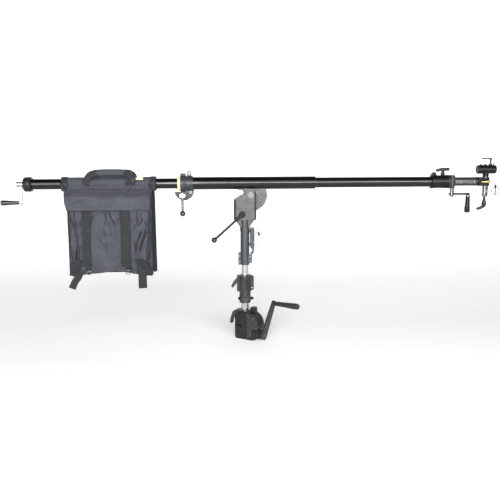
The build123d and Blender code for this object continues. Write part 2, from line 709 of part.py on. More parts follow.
# ---- tilt clamp lever ---------------------------------------------------------------------------
def ball_profile(radius, bore_r, depth):
    """Half section of a knob: a ball with a flat neck and a blind bore, along local x."""
    neck = radius * 0.94
    steps = 16
    start = atan2(radius * 0.58, neck)
    points = [(depth, 0), (depth, bore_r), (neck, bore_r)]
    for step in range(steps):
        angle = start + (pi - start) * step / steps
        points.append((radius * cos(angle), radius * sin(angle)))
    points.append((-radius, 0))
    return points


TILT_BALL = Vector(-136, -36, 454)
TILT_HUB = Vector(TILT_LEVER_X, -36, TILT_LEVER_Z)
BALL_R = 12.5
with BuildPart() as tilt_lever:
    for plane_y, radius, length in ((YOKE_HALF + 6, 6, 2 * YOKE_HALF + 8), (-YOKE_HALF - 0.3, 14.5, 5),
                                    (-YOKE_HALF - 5.3, 11.5, 11), (-YOKE_HALF - 16.3, 9, 3)):
        with BuildSketch(side_plane(plane_y)):
            with Locations((TILT_LEVER_X, TILT_LEVER_Z)):
                Circle(radius)
        extrude(amount=length)
    tilt_direction = (TILT_BALL - TILT_HUB).normalized()
    with BuildSketch(Plane(origin=TILT_HUB, z_dir=tilt_direction)):
        Circle(5.0)
    extrude(amount=(TILT_BALL - TILT_HUB).length - 8)
    with BuildSketch(Plane(origin=TILT_HUB, z_dir=tilt_direction)):
        Circle(6.5)
    extrude(amount=34)
tilt_lever.part.label = "tilt_lever"
export_step(tilt_lever.part, "parts/tilt_lever.step")

with BuildPart() as tilt_lever_ball:
    with BuildSketch(Plane(origin=TILT_BALL, x_dir=-tilt_direction, z_dir=(0, 1, 0))):
        with BuildLine():
            Polyline(*ball_profile(BALL_R, 5.0, 8.0), close=True)
        make_face()
    revolve(axis=Axis(TILT_BALL, -tilt_direction))
tilt_lever_ball.part.label = "tilt_lever_ball"
export_step(tilt_lever_ball.part, "parts/tilt_lever_ball.step")

# ---- fixed boom tube, collar and tilt disc ------------------------------------------------------
LINER_START = -292.0
CAM_X, CAM_DROP = -272.0, -52.0
with BuildPart() as outer_tube:
    with BuildSketch(boom_station(OUTER_START)):
        Circle(OUTER_R)
        Circle(OUTER_BORE, mode=Mode.SUBTRACT)
    extrude(amount=OUTER_END - OUTER_START)
outer_tube.part.label = "outer_tube"
export_step(outer_tube.part, "parts/outer_tube.step")

with BuildPart() as collar_liner:
    with BuildSketch(boom_station(LINER_START)):
        Circle(31)
    extrude(amount=12)
    with BuildSketch(boom_station(LINER_START + 12)):
        Circle(OUTER_BORE)
    extrude(amount=OUTER_END - 3 - LINER_START - 12)
    with BuildSketch(boom_station(LINER_START)):
        Circle(INNER_R + SLIDE_FIT)
    extrude(amount=OUTER_END - LINER_START, mode=Mode.SUBTRACT)
    chamfer(collar_liner.faces().sort_by(Axis.X)[0].edges().sort_by(SortBy.RADIUS)[-1], 2.5)
collar_liner.part.label = "collar_liner"
export_step(collar_liner.part, "parts/collar_liner.step")

with BuildPart() as clamp_ring:
    with BuildSketch(boom_station(LINER_START + 12)):
        Circle(36.5)
        with Locations((0, 33)):
            RectangleRounded(26, 20, 3)
    extrude(amount=23.7)
    chamfer(clamp_ring.edges().filter_by(GeomType.CIRCLE), 2)
    with BuildSketch(boom_station(LINER_START + 12)):
        Circle(OUTER_BORE)
    extrude(amount=23.7, mode=Mode.SUBTRACT)
    with BuildSketch(boom_station(LINER_START + 12)):
        with Locations((0, 35)):
            Rectangle(3, 24)
    extrude(amount=23.7, mode=Mode.SUBTRACT)
clamp_ring.part.label = "clamp_ring"
export_step(clamp_ring.part, "parts/clamp_ring.step")

PLATE_CENTRE, PLATE_R = (-264.0, -32.0), 42.0
COLLAR_BOSSES = [(-241, 44), (-236, -38)]
with BuildPart() as main_collar:
    with BuildSketch(boom_station(OUTER_START)):
        Circle(31.75)
    extrude(amount=31)
    # web under the tube that carries the cam lever
    with BuildSketch(BOOM_SIDE.offset(-4)):
        with Locations(PLATE_CENTRE):
            Circle(PLATE_R)
        with Locations((-241, 34)):
            RectangleRounded(20, 30, 8)
    extrude(amount=8)
    with BuildSketch(BOOM_SIDE.offset(-7)):
        with Locations(*COLLAR_BOSSES):
            Circle(9.8)
    extrude(amount=14)
    with BuildSketch(boom_station(OUTER_START - 60)):
        Circle(36.8)
    extrude(amount=60, mode=Mode.SUBTRACT)
    with BuildSketch(boom_station(OUTER_START)):
        Circle(OUTER_R)
    extrude(amount=40, mode=Mode.SUBTRACT)
    with BuildSketch(BOOM_SIDE.offset(-10)):
        with Locations(*COLLAR_BOSSES):
            Circle(4)
        with Locations((CAM_X, CAM_DROP), (-300, -33)):
            Circle(4 + SHAFT_FIT)
    extrude(amount=20, mode=Mode.SUBTRACT)
main_collar.part.label = "main_collar"
export_step(main_collar.part, "parts/main_collar.step")

with BuildPart() as collar_bolts:
    with BuildSketch(BOOM_SIDE.offset(-7)):
        with Locations(*COLLAR_BOSSES):
            Circle(4)
    extrude(amount=14)
    for offset in (7, -11):
        with BuildSketch(BOOM_SIDE.offset(offset)):
            with Locations(*COLLAR_BOSSES):
                Circle(7)
        extrude(amount=4)
collar_bolts.part.label = "collar_bolts"
export_step(collar_bolts.part, "parts/collar_bolts.step")

DISC_R = 72.0
with BuildPart() as tilt_disc:
    with BuildSketch(side_plane(YOKE_SLOT - 0.6)):
        with BuildLine():
            sector_start, sector_end = radians(-150), radians(14)
            rim_start = (PIVOT_X + DISC_R * cos(sector_start), PIVOT_Z + DISC_R * sin(sector_start))
            rim_end = (PIVOT_X + DISC_R * cos(sector_end), PIVOT_Z + DISC_R * sin(sector_end))
            ThreePointArc(rim_start, (PIVOT_X, PIVOT_Z - DISC_R), rim_end)
            Polyline(rim_end, (PIVOT_X + 66, 674), (PIVOT_X - 40, 674), (PIVOT_X - 30, 656), rim_start)
        make_face()
    extrude(amount=2 * YOKE_SLOT - 1.2)
    # cradle welded under the tube
    with BuildSketch(boom_station(-30)):
        with Locations((0, -19)):
            RectangleRounded(2 * YOKE_SLOT - 1.2, 22, 3)
    extrude(amount=124)
    with BuildSketch(boom_station(-60)):
        Circle(OUTER_R)
    extrude(amount=200, mode=Mode.SUBTRACT)
    with BuildSketch(side_plane(30)):
        with Locations((PIVOT_X, PIVOT_Z)):
            Circle(8 + SHAFT_FIT)
    extrude(amount=60, mode=Mode.SUBTRACT)
tilt_disc.part.label = "tilt_disc"
export_step(tilt_disc.part, "parts/tilt_disc.step")

# ---- cam lever that locks the sliding tube ------------------------------------------------------
CAM_BALL_DROP = -131.0
CAM_Y = -15.0
with BuildPart() as cam_lever:
    with BuildSketch(BOOM_SIDE.offset(-7)):
        with Locations((CAM_X, CAM_DROP)):
            Circle(4)
    extrude(amount=14)
    with BuildSketch(BOOM_SIDE.offset(4.3)):
        with Locations((CAM_X, CAM_DROP)):
            Ellipse(14, 10.5)
    extrude(amount=20)
    chamfer(cam_lever.faces().sort_by(Axis.Y)[0].edges(), 2)
    with BuildSketch(Plane(origin=(CAM_X, CAM_Y, BOOM_Z + CAM_DROP), z_dir=(0, 0, -1))):
        Circle(5.5)
    extrude(amount=CAM_DROP - CAM_BALL_DROP - 8)
cam_lever.part.label = "cam_lever"
export_step(cam_lever.part, "parts/cam_lever.step")

cam_ball_centre = Vector(CAM_X, CAM_Y, BOOM_Z + CAM_BALL_DROP)
with BuildPart() as cam_lever_ball:
    with BuildSketch(Plane(origin=cam_ball_centre, x_dir=UP, z_dir=(0, 1, 0))):
        with BuildLine():
            Polyline(*ball_profile(BALL_R, 5.5, 8.0), close=True)
        make_face()
    revolve(axis=Axis(cam_ball_centre, UP))
cam_lever_ball.part.label = "cam_lever_ball"
export_step(cam_lever_ball.part, "parts/cam_lever_ball.step")

# ---- sliding boom tube, rear cap and front collar -----------------------------------------------
CAP_START, CAP_END = -951.0, -914.0
BEARING_START, BEARING_END = -947.0, -932.0
DRIVE_SHAFT_R = 8.0
with BuildPart() as inner_tube:
    with BuildSketch(boom_station(INNER_START)):
        Circle(INNER_R)
        Circle(INNER_BORE, mode=Mode.SUBTRACT)
    extrude(amount=INNER_END - INNER_START)
inner_tube.part.label = "inner_tube"
export_step(inner_tube.part, "parts/inner_tube.step")

with BuildPart() as rear_cap:
    with BuildSketch(BOOM_SIDE):
        with BuildLine():
            Polyline(
                (CAP_START, DRIVE_SHAFT_R + 0.6), (CAP_START, 22), (-949, 27), (-944, 31), (-936, 32),
                (-934, 30), (-932, 30), (-930, 32), (-922, 32), (-920, 30), (-918, 30), (-916, 31.5),
                (CAP_END, 29), (CAP_END, INNER_R), (INNER_START, INNER_R), (INNER_START, 20.5),
                (BEARING_START, 20.5), (BEARING_START, DRIVE_SHAFT_R + 0.6), close=True,
            )
        make_face()
    revolve(axis=Axis((0, 0, BOOM_Z), (1, 0, 0)))
rear_cap.part.label = "rear_cap"
export_step(rear_cap.part, "parts/rear_cap.step")

with BuildPart() as rear_bearing:
    with BuildSketch(boom_station(BEARING_START)):
        Circle(20.5)
        Circle(DRIVE_SHAFT_R + SHAFT_FIT, mode=Mode.SUBTRACT)
    extrude(amount=BEARING_END - BEARING_START)
rear_bearing.part.label = "rear_bearing"
export_step(rear_bearing.part, "parts/rear_bearing.step")

KNOB_X = 882.0
COLLAR_END = 905.0
with BuildPart() as front_collar:
    with BuildSketch(boom_station(827)):
        Circle(30)
    extrude(amount=20)
    chamfer(front_collar.faces().sort_by(Axis.X)[0].edges(), 3)
    # hump of the tube's clamp wedge
    with BuildSketch(side_plane(9)):
        with BuildLine():
            Polyline((828, BOOM_Z + 22), (829, BOOM_Z + 30), (838, BOOM_Z + 42), (844, BOOM_Z + 43),
                     (850, BOOM_Z + 38), (854, BOOM_Z + 26), close=True)
        make_face()
    extrude(amount=18)
    with BuildSketch(boom_station(847)):
        Circle(28.5)
    extrude(amount=42)
    with BuildSketch(boom_station(889)):
        Circle(30)
    extrude(amount=COLLAR_END - 889)
    with BuildSketch(level(BOOM_Z + 20, KNOB_X, 0)):
        Circle(9)
    extrude(amount=13)
    with BuildSketch(boom_station(827)):
        Circle(INNER_R)
    extrude(amount=INNER_END - 827, mode=Mode.SUBTRACT)
    with BuildSketch(boom_station(INNER_END)):
        Circle(25)
    extrude(amount=40, mode=Mode.SUBTRACT)
    with BuildSketch(level(BOOM_Z + 24, KNOB_X, 0)):
        Circle(4 + SHAFT_FIT)
    extrude(amount=20, mode=Mode.SUBTRACT)
front_collar.part.label = "front_collar"
export_step(front_collar.part, "parts/front_collar.step")

RACK_SLOT_Y = -21.0
with BuildPart() as front_bush:
    with BuildSketch(boom_station(INNER_END)):
        Circle(25)
        Circle(FRONT_R + SLIDE_FIT, mode=Mode.SUBTRACT)
        with Locations((RACK_SLOT_Y / 2, 0)):
            Rectangle(-RACK_SLOT_Y, RACK_WIDTH + 1, mode=Mode.SUBTRACT)
    extrude(amount=COLLAR_END - INNER_END)
front_bush.part.label = "front_bush"
export_step(front_bush.part, "parts/front_bush.step")

RACK_PITCH_Y = RACK_TIP - ADDENDUM * MODULE_FRONT
EXT_TEETH = 10
EXT_R = MODULE_FRONT * EXT_TEETH / 2
SPINDLE_X, SPINDLE_Y = 918.0, -(RACK_PITCH_Y + EXT_R)
with BuildPart() as pinion_bracket:
    with BuildSketch(boom_station(COLLAR_END)):
        Circle(30)
    extrude(amount=27)
    with BuildSketch(level(BOOM_Z - 28, SPINDLE_X, SPINDLE_Y)):
        Circle(11.5)
    extrude(amount=57)
    with BuildSketch(level(BOOM_Z - 27, SPINDLE_X, SPINDLE_Y / 2)):
        Rectangle(22, -SPINDLE_Y)
    extrude(amount=55)
    with BuildSketch(boom_station(COLLAR_END - 5)):
        Circle(FRONT_R + 0.5)
        with Locations((RACK_SLOT_Y / 2, 0)):
            Rectangle(-RACK_SLOT_Y, RACK_WIDTH + 1, mode=Mode.ADD)
    extrude(amount=50, mode=Mode.SUBTRACT)
    with BuildSketch(level(BOOM_Z - 8, SPINDLE_X, SPINDLE_Y)):
        Circle(9.3)
    extrude(amount=16, mode=Mode.SUBTRACT)
    with BuildSketch(level(BOOM_Z - 40, SPINDLE_X, SPINDLE_Y)):
        Circle(4.5 + SHAFT_FIT)
    extrude(amount=62, mode=Mode.SUBTRACT)
pinion_bracket.part.label = "pinion_bracket"
export_step(pinion_bracket.part, "parts/pinion_bracket.step")

with BuildPart() as wing_knob:
    with BuildSketch(level(BOOM_Z + 24.5, KNOB_X, 0)):
        Circle(4)
    extrude(amount=12)
    with BuildSketch(level(BOOM_Z + 33.4, KNOB_X, 0)):
        Circle(7)
    extrude(amount=14)
    with BuildSketch(side_plane(4)):
        with BuildLine():
            Polyline(
                (KNOB_X - 30, BOOM_Z + 46), (KNOB_X - 31, BOOM_Z + 53), (KNOB_X - 12, BOOM_Z + 60),
                (KNOB_X, BOOM_Z + 62), (KNOB_X + 12, BOOM_Z + 60), (KNOB_X + 24, BOOM_Z + 62),
                (KNOB_X + 31, BOOM_Z + 60), (KNOB_X + 30, BOOM_Z + 50), (KNOB_X + 12, BOOM_Z + 47),
                (KNOB_X + 6, BOOM_Z + 42), (KNOB_X - 6, BOOM_Z + 42), (KNOB_X - 12, BOOM_Z + 46),
                close=True,
            )
        make_face()
    extrude(amount=8)
wing_knob.part.label = "wing_knob"
export_step(wing_knob.part, "parts/wing_knob.step")

# ---- rear crank and drive tube ------------------------------------------------------------------
REAR_DROP = 79.0
REAR_ARM_X = -972.0
with BuildPart() as drive_tube:
    with BuildSketch(boom_station(-980)):
        Circle(DRIVE_SHAFT_R)
    extrude(amount=980 - 931.5)
    with BuildSketch(boom_station(-931.5)):
        Circle(DRIVE_R)
    extrude(amount=931.5 + 880)
    with BuildSketch(boom_station(-900)):
        Rectangle(DRIVE_SQUARE + 0.3, DRIVE_SQUARE + 0.3)
    extrude(amount=900 + 881, mode=Mode.SUBTRACT)
drive_tube.part.label = "drive_tube"
export_step(drive_tube.part, "parts/drive_tube.step")

with BuildPart() as rear_crank_arm:
    with BuildSketch(boom_station(REAR_ARM_X)):
        Circle(9)
        with Locations((0, -REAR_DROP / 2)):
            Rectangle(13, REAR_DROP)
        with Locations((0, -REAR_DROP)):
            Circle(7.5)
    extrude(amount=13)
    with BuildSketch(boom_station(-981)):
        Circle(10.5)
    extrude(amount=28)
    with BuildSketch(boom_station(-980)):
        Circle(DRIVE_SHAFT_R)
    extrude(amount=30, mode=Mode.SUBTRACT)
    with BuildSketch(boom_station(-1049)):
        with Locations((0, -REAR_DROP)):
            Circle(3)
    extrude(amount=1049 + REAR_ARM_X)
rear_crank_arm.part.label = "rear_crank_arm"
export_step(rear_crank_arm.part, "parts/rear_crank_arm.step")

with BuildPart() as rear_grip:
    rear_grip_origin = Vector(REAR_ARM_X - 1, 0, BOOM_Z - REAR_DROP)
    with BuildSketch(Plane(origin=rear_grip_origin, x_dir=(-1, 0, 0), z_dir=(0, 1, 0))):
        with BuildLine():
            Polyline(*grip_profile(78, 7.0, 11.5, 10.0, 3 + SHAFT_FIT), close=True)
        make_face()
    revolve(axis=Axis(rear_grip_origin, (-1, 0, 0)))
    with BuildSketch(boom_station(-1051)):
        with Locations((0, -REAR_DROP)):
            Circle(10)
    extrude(amount=1.8)
rear_grip.part.label = "rear_grip"
export_step(rear_grip.part, "parts/rear_grip.step")

# ---- extension crank ----------------------------------------------------------------------------
EXT_PIN_X, EXT_ARM_DROP = 992.0, -53.0
with BuildPart() as extension_pinion:
    with BuildSketch(level(BOOM_Z - RACK_WIDTH / 2, SPINDLE_X, SPINDLE_Y)):
        with BuildLine():
            Polyline(*gear_points(EXT_TEETH, MODULE_FRONT, pi / 2), close=True)
        make_face()
    extrude(amount=RACK_WIDTH)
    with BuildSketch(level(BOOM_Z - 30, SPINDLE_X, SPINDLE_Y)):
        Circle(4.5)
    extrude(amount=51)
    with BuildSketch(level(BOOM_Z - 65, SPINDLE_X, SPINDLE_Y)):
        Circle(9.5)
    extrude(amount=36.7)
    chamfer(extension_pinion.faces().sort_by(Axis.Z)[0].edges(), 1.2)
    with BuildSketch(cross_plane(900, SPINDLE_Y, BOOM_Z + EXT_ARM_DROP)):
        Circle(4.25)
    extrude(amount=40, mode=Mode.SUBTRACT)
extension_pinion.part.label = "extension_pinion"
export_step(extension_pinion.part, "parts/extension_pinion.step")

with BuildPart() as extension_crank_arm:
    with BuildSketch(cross_plane(905, SPINDLE_Y, BOOM_Z + EXT_ARM_DROP)):
        Circle(4.25)
    extrude(amount=EXT_PIN_X + 7 - 905)
    with BuildSketch(level(BOOM_Z + EXT_ARM_DROP - 4.8, EXT_PIN_X, SPINDLE_Y)):
        Circle(6.5)
    extrude(amount=9.6)
    with BuildSketch(level(BOOM_Z - 132, EXT_PIN_X, SPINDLE_Y)):
        Circle(3)
    extrude(amount=132 + EXT_ARM_DROP)
extension_crank_arm.part.label = "extension_crank_arm"
export_step(extension_crank_arm.part, "parts/extension_crank_arm.step")

with BuildPart() as extension_grip:
    ext_grip_origin = Vector(EXT_PIN_X, SPINDLE_Y, BOOM_Z + EXT_ARM_DROP - 5.4)
    with BuildSketch(Plane(origin=ext_grip_origin, x_dir=(0, 0, -1), z_dir=(0, 1, 0))):
        with BuildLine():
            Polyline(*grip_profile(75, 8.5, 12.5, 12.0, 3 + SHAFT_FIT), close=True)
        make_face()
    revolve(axis=Axis(ext_grip_origin, (0, 0, -1)))
    with BuildSketch(level(BOOM_Z - 135, EXT_PIN_X, SPINDLE_Y)):
        Circle(12)
    extrude(amount=1.8)
extension_grip.part.label = "extension_grip"
export_step(extension_grip.part, "parts/extension_grip.step")

# ---- racked front tube --------------------------------------------------------------------------
RACK_FLAT = 14.5
RACK_START, RACK_STOP = -830.0, 1026.0
with BuildPart() as front_tube:
    with BuildSketch(boom_station(FRONT_START)):
        Circle(FRONT_R)
        Circle(FRONT_BORE, mode=Mode.SUBTRACT)
    extrude(amount=FRONT_END - FRONT_START)
    with BuildSketch(boom_station(RACK_START)):
        with Locations((-RACK_FLAT - 10, 0)):
            Rectangle(20, 40)
    extrude(amount=RACK_STOP - RACK_START, mode=Mode.SUBTRACT)
    # end stop ring
    with BuildSketch(boom_station(1028)):
        Circle(FRONT_R + 0.8)
        Circle(FRONT_R - 1, mode=Mode.SUBTRACT)
    extrude(amount=4)
front_tube.part.label = "front_tube"
export_step(front_tube.part, "parts/front_tube.step")

with BuildPart() as front_rack:
    gap_at_pinion = (SPINDLE_X - RACK_START) % (pi * MODULE_FRONT)
    rack_origin = Vector(RACK_START, -RACK_PITCH_Y, BOOM_Z + RACK_WIDTH / 2)
    with BuildSketch(Plane(origin=rack_origin, x_dir=(1, 0, 0), z_dir=(0, 0, -1))):
        with BuildLine():
            run = RACK_STOP - RACK_START - gap_at_pinion
            rack_back = RACK_FLAT - RACK_PITCH_Y
            Polyline(*rack_points(gap_at_pinion, run, MODULE_FRONT, rack_back), close=True)
        make_face()
    extrude(amount=RACK_WIDTH)
front_rack.part.label = "front_rack"
export_step(front_rack.part, "parts/front_rack.step")

with BuildPart() as tail_bush:
    with BuildSketch(boom_station(FRONT_START - 14)):
        Circle(INNER_BORE - SLIDE_FIT)
        Circle(DRIVE_R + 1, mode=Mode.SUBTRACT)
    extrude(amount=14)
tail_bush.part.label = "tail_bush"
export_step(tail_bush.part, "parts/tail_bush.step")

# ---- lamp head ----------------------------------------------------------------------------------
POST_R = 12.0
with BuildPart() as head_block:
    with BuildSketch(level(BOOM_Z - 19, 1066, 0)):
        RectangleRounded(52, 36, 8)
    extrude(amount=38)
    with BuildSketch(boom_station(1004)):
        Circle(FRONT_BORE - SHAFT_FIT)
    extrude(amount=40)
    with BuildSketch(boom_station(990)):
        Rectangle(DRIVE_SQUARE, DRIVE_SQUARE)
    extrude(amount=54, mode=Mode.SUBTRACT)
    with BuildSketch(level(BOOM_Z - 30, HEAD_X, 0)):
        Circle(POST_R + SHAFT_FIT)
    extrude(amount=60, mode=Mode.SUBTRACT)
    with BuildSketch(cross_plane(1050, -18, BOOM_Z)):
        Circle(6)
    extrude(amount=60, mode=Mode.SUBTRACT)
head_block.part.label = "head_block"
export_step(head_block.part, "parts/head_block.step")

with BuildPart() as drive_rod:
    with BuildSketch(boom_station(-800)):
        Rectangle(DRIVE_SQUARE, DRIVE_SQUARE)
    extrude(amount=800 + 1044)
drive_rod.part.label = "drive_rod"
export_step(drive_rod.part, "parts/drive_rod.step")

with BuildPart() as brass_screw:
    brass_origin = Vector(1052, -18, BOOM_Z)
    with BuildSketch(Plane(origin=brass_origin, x_dir=(1, 0, 0), z_dir=(0, -1, 0))):
        with BuildLine():
            Polyline((0, 0), (0, 4.5), (2, 6), (32, 6), (34, 4.5), (40, 4.5), (42, 3), (50, 3), (51, 0),
                     close=True)
        make_face()
    revolve(axis=Axis(brass_origin, (1, 0, 0)))
brass_screw.part.label = "brass_screw"
export_step(brass_screw.part, "parts/brass_screw.step")

with BuildPart() as head_post:
    with BuildSketch(level(BOOM_Z - 20, HEAD_X, 0)):
        Circle(POST_R)
    extrude(amount=54)
    with BuildSketch(level(BOOM_Z - 67, HEAD_X, 0)):
        Circle(13.5)
    extrude(amount=47.5)
    chamfer(head_post.faces().sort_by(Axis.Z)[0].edges(), 1.5)
    with BuildSketch(side_plane(20)):
        with Locations((HEAD_X + 2, BOOM_Z - 43)):
            Circle(4.5)
    extrude(amount=40, mode=Mode.SUBTRACT)
    with BuildSketch(level(BOOM_Z - 70, HEAD_X, 0)):
        Circle(5 + SHAFT_FIT)
    extrude(amount=16, mode=Mode.SUBTRACT)
head_post.part.label = "head_post"
export_step(head_post.part, "parts/head_post.step")

LAMP_START, LAMP_END, LAMP_R, LAMP_BORE = 1037.0, 1121.0, 19.0, 14.5
T_SCREW_X = 1097.0
with BuildPart() as lamp_socket:
    with BuildSketch(boom_station(LAMP_START)):
        with Locations((0, SOCKET_AXIS)):
            Circle(LAMP_R)
    extrude(amount=LAMP_END - LAMP_START)
    chamfer(lamp_socket.edges().filter_by(GeomType.CIRCLE), 2)
    with BuildSketch(level(BOOM_Z + 20.5, HEAD_X, 0)):
        Circle(13)
    extrude(amount=20)
    # bosses for the clamp screws along the top
    for boss_x, boss_r, boss_top in ((1055, 6.5, 75.5), (1074, 7, 76), (T_SCREW_X, 8.5, 77)):
        with BuildSketch(level(BOOM_Z + SOCKET_AXIS, boss_x, 0)):
            Circle(boss_r)
        extrude(amount=boss_top - SOCKET_AXIS)
    with BuildSketch(level(BOOM_Z + SOCKET_AXIS, 1108, -8)):
        Circle(3.5)
    extrude(amount=23)
    with BuildSketch(boom_station(LAMP_START + 20)):
        with Locations((0, SOCKET_AXIS)):
            Circle(LAMP_BORE)
    extrude(amount=80, mode=Mode.SUBTRACT)
    with BuildSketch(level(BOOM_Z + 20.5, HEAD_X, 0)):
        Circle(POST_R)
    extrude(amount=13.5, mode=Mode.SUBTRACT)
    with BuildSketch(level(BOOM_Z + SOCKET_AXIS, T_SCREW_X, 0)):
        Circle(4 + SHAFT_FIT)
    extrude(amount=40, mode=Mode.SUBTRACT)
lamp_socket.part.label = "lamp_socket"
export_step(lamp_socket.part, "parts/lamp_socket.step")

T_BAR_Z = 101.0
with BuildPart() as t_screw:
    with BuildSketch(level(BOOM_Z + SOCKET_AXIS + LAMP_BORE + 0.5, T_SCREW_X, 0)):
        Circle(4)
    extrude(amount=T_BAR_Z - SOCKET_AXIS - LAMP_BORE - 2)
    with BuildSketch(level(BOOM_Z + T_BAR_Z - 5, T_SCREW_X, 0)):
        Circle(5)
    extrude(amount=9)
    with BuildSketch(cross_plane(1055, 0, BOOM_Z + T_BAR_Z)):
        Circle(2.8)
    extrude(amount=46)
t_screw.part.label = "t_screw"
export_step(t_screw.part, "parts/t_screw.step")

with BuildPart() as ratchet_lever:
    with BuildSketch(level(BOOM_Z - 86, HEAD_X, 0)):
        Circle(5)
    extrude(amount=31)
    with BuildSketch(level(BOOM_Z - 100, HEAD_X, 0)):
        Circle(10)
    extrude(amount=16)
    fillet(ratchet_lever.faces().sort_by(Axis.Z)[0].edges(), 3)
    with BuildSketch(side_plane(5)):
        with BuildLine():
            Polyline((HEAD_X - 5, BOOM_Z - 92), (HEAD_X + 7, BOOM_Z - 90), (HEAD_X + 10, BOOM_Z - 100),
                     (HEAD_X + 2, BOOM_Z - 108), (HEAD_X - 18, BOOM_Z - 119), (HEAD_X - 29, BOOM_Z - 124),
                     (HEAD_X - 34, BOOM_Z - 119), (HEAD_X - 22, BOOM_Z - 109), close=True)
        make_face()
    extrude(amount=10)
ratchet_lever.part.label = "ratchet_lever"
export_step(ratchet_lever.part, "parts/ratchet_lever.step")

# ---- safety lanyard with its pin ----------------------------------------------------------------
LANYARD_D = 1.6
LANYARD = [
    (1108, -8, 776), (1108, -8, 787), (1110.5, -9, 797), (1117, -11.5, 802), (1124, -15, 795),
    (1127, -17.5, 781), (1127.5, -19, 761), (1127, -18.5, 738), (1125.5, -14.5, 717), (1123, -8, 701),
    (1123, -8, 685),
]


def cord_radii(points):
    """The largest arc at each corner: 0.45 of the shorter run over the tangent of half the turn."""
    radii = []
    for before, corner, after in zip(points, points[1:], points[2:]):
        run_in, run_out = Vector(corner) - Vector(before), Vector(after) - Vector(corner)
        half_turn = radians(run_in.get_angle(run_out) / 2)
        radii.append(0.45 * min(run_in.length, run_out.length) / tan(half_turn))
    return radii


lanyard_radii = cord_radii(LANYARD)
print("lanyard radii", [round(radius, 1) for radius in lanyard_radii])
with BuildPart() as safety_lanyard:
    with BuildLine() as lanyard_route:
        FilletPolyline(*LANYARD, radius=lanyard_radii)
    with BuildSketch(Plane(origin=lanyard_route.line @ 0, z_dir=lanyard_route.line % 0)):
        Circle(LANYARD_D / 2)
    sweep(path=lanyard_route.line)
lanyard_length = sum(edge.length for edge in lanyard_route.edges())
tube_volume = pi * (LANYARD_D / 2) ** 2 * lanyard_length
print("lanyard length", round(lanyard_length, 1), "volumes", tube_volume, safety_lanyard.part.volume)
safety_lanyard.part.label = "safety_lanyard"
export_step(safety_lanyard.part, "parts/safety_lanyard.step")

PIN_END = Vector(LANYARD[-1])
RING_R, RING_WIRE = 17.0, 1.2
with BuildPart() as safety_pin:
    with BuildSketch(level(PIN_END.Z - 44, PIN_END.X, PIN_END.Y)):
        Circle(2.2)
    extrude(amount=38)
    with BuildSketch(level(PIN_END.Z - 14, PIN_END.X, PIN_END.Y)):
        Circle(4.2)
    extrude(amount=14)
    with BuildSketch(cross_plane(PIN_END.X - 6, PIN_END.Y, PIN_END.Z - 9)):
        Circle(2.2)
    extrude(amount=12, mode=Mode.SUBTRACT)
    ring_centre = Vector(PIN_END.X, PIN_END.Y, PIN_END.Z - 9 - RING_R)
    with Locations(Location(ring_centre, (90, 0, 0))):
        Torus(RING_R, RING_WIRE)
safety_pin.part.label = "safety_pin"
export_step(safety_pin.part, "parts/safety_pin.step")

# ---- counterweight bag --------------------------------------------------------------------------
BAG_LEFT, BAG_RIGHT = -788.0, -384.0
POUCH_TOP, POUCH_BOTTOM = 676.0, 300.0
POUCH_WIDTH, POUCH_DEPTH, POUCH_WALL = 352.0, 50.0, 3.0
POUCH_INNER = 28.0  # how far each pouch hangs out from the boom's middle plane
HANDLE_HALF = 14.0
BUCKLE_R, BUCKLE_WIRE, BUCKLE_Z = 9.0, 1.8, 325.0
with BuildPart() as bag_sleeve:
    with BuildSketch(boom_station(BAG_LEFT)):
        Circle(INNER_R + 3.2)
        Circle(INNER_R + 0.4, mode=Mode.SUBTRACT)
    extrude(amount=BAG_RIGHT - BAG_LEFT)
    # side panels that the pouches hang from
    with BuildSketch(boom_station((BAG_LEFT + BAG_RIGHT - POUCH_WIDTH) / 2)):
        with Locations((-POUCH_INNER + 1.5, -28), (POUCH_INNER - 1.5, -28)):
            Rectangle(3, 64)
    extrude(amount=POUCH_WIDTH)
    # padded handle along the top
    with BuildSketch(side_plane(HANDLE_HALF)):
        with BuildLine():
            Polyline((-702, 718), (-676, 742), (-650, 761), (-514, 761), (-494, 744), (-474, 718),
                     (-500, 724), (-522, 735), (-642, 735), (-666, 724), close=True)
        make_face()
    extrude(amount=2 * HANDLE_HALF)
    with BuildSketch(boom_station(BAG_LEFT)):
        Circle(INNER_R + 0.4)
    extrude(amount=BAG_RIGHT - BAG_LEFT, mode=Mode.SUBTRACT)
bag_sleeve.part.label = "bag_sleeve"
export_step(bag_sleeve.part, "parts/bag_sleeve.step")

with BuildPart() as bag_pouches:
    for middle in (-POUCH_INNER - POUCH_DEPTH / 2, POUCH_INNER + POUCH_DEPTH / 2):
        pouch_x = (BAG_LEFT + BAG_RIGHT) / 2
        with BuildSketch(level(POUCH_BOTTOM, pouch_x, middle)):
            RectangleRounded(POUCH_WIDTH, POUCH_DEPTH, 14)
        extrude(amount=POUCH_TOP - POUCH_BOTTOM)
        with BuildSketch(level(POUCH_BOTTOM + POUCH_WALL, pouch_x, middle)):
            RectangleRounded(POUCH_WIDTH - 2 * POUCH_WALL, POUCH_DEPTH - 2 * POUCH_WALL, 11)
        extrude(amount=POUCH_TOP - POUCH_BOTTOM, mode=Mode.SUBTRACT)
bag_pouches.part.label = "bag_pouches"
export_step(bag_pouches.part, "parts/bag_pouches.step")

with BuildPart() as bag_buckles:
    buckle_y = POUCH_INNER + POUCH_DEPTH + BUCKLE_WIRE + 0.5
    for place in ((-676, -buckle_y), (-509, -buckle_y), (-676, buckle_y), (-509, buckle_y)):
        with Locations(Location((*place, BUCKLE_Z), (90, 0, 0))):
            Torus(BUCKLE_R, BUCKLE_WIRE)
bag_buckles.part.label = "bag_buckles"
export_step(bag_buckles.part, "parts/bag_buckles.step")
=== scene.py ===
import json
import math

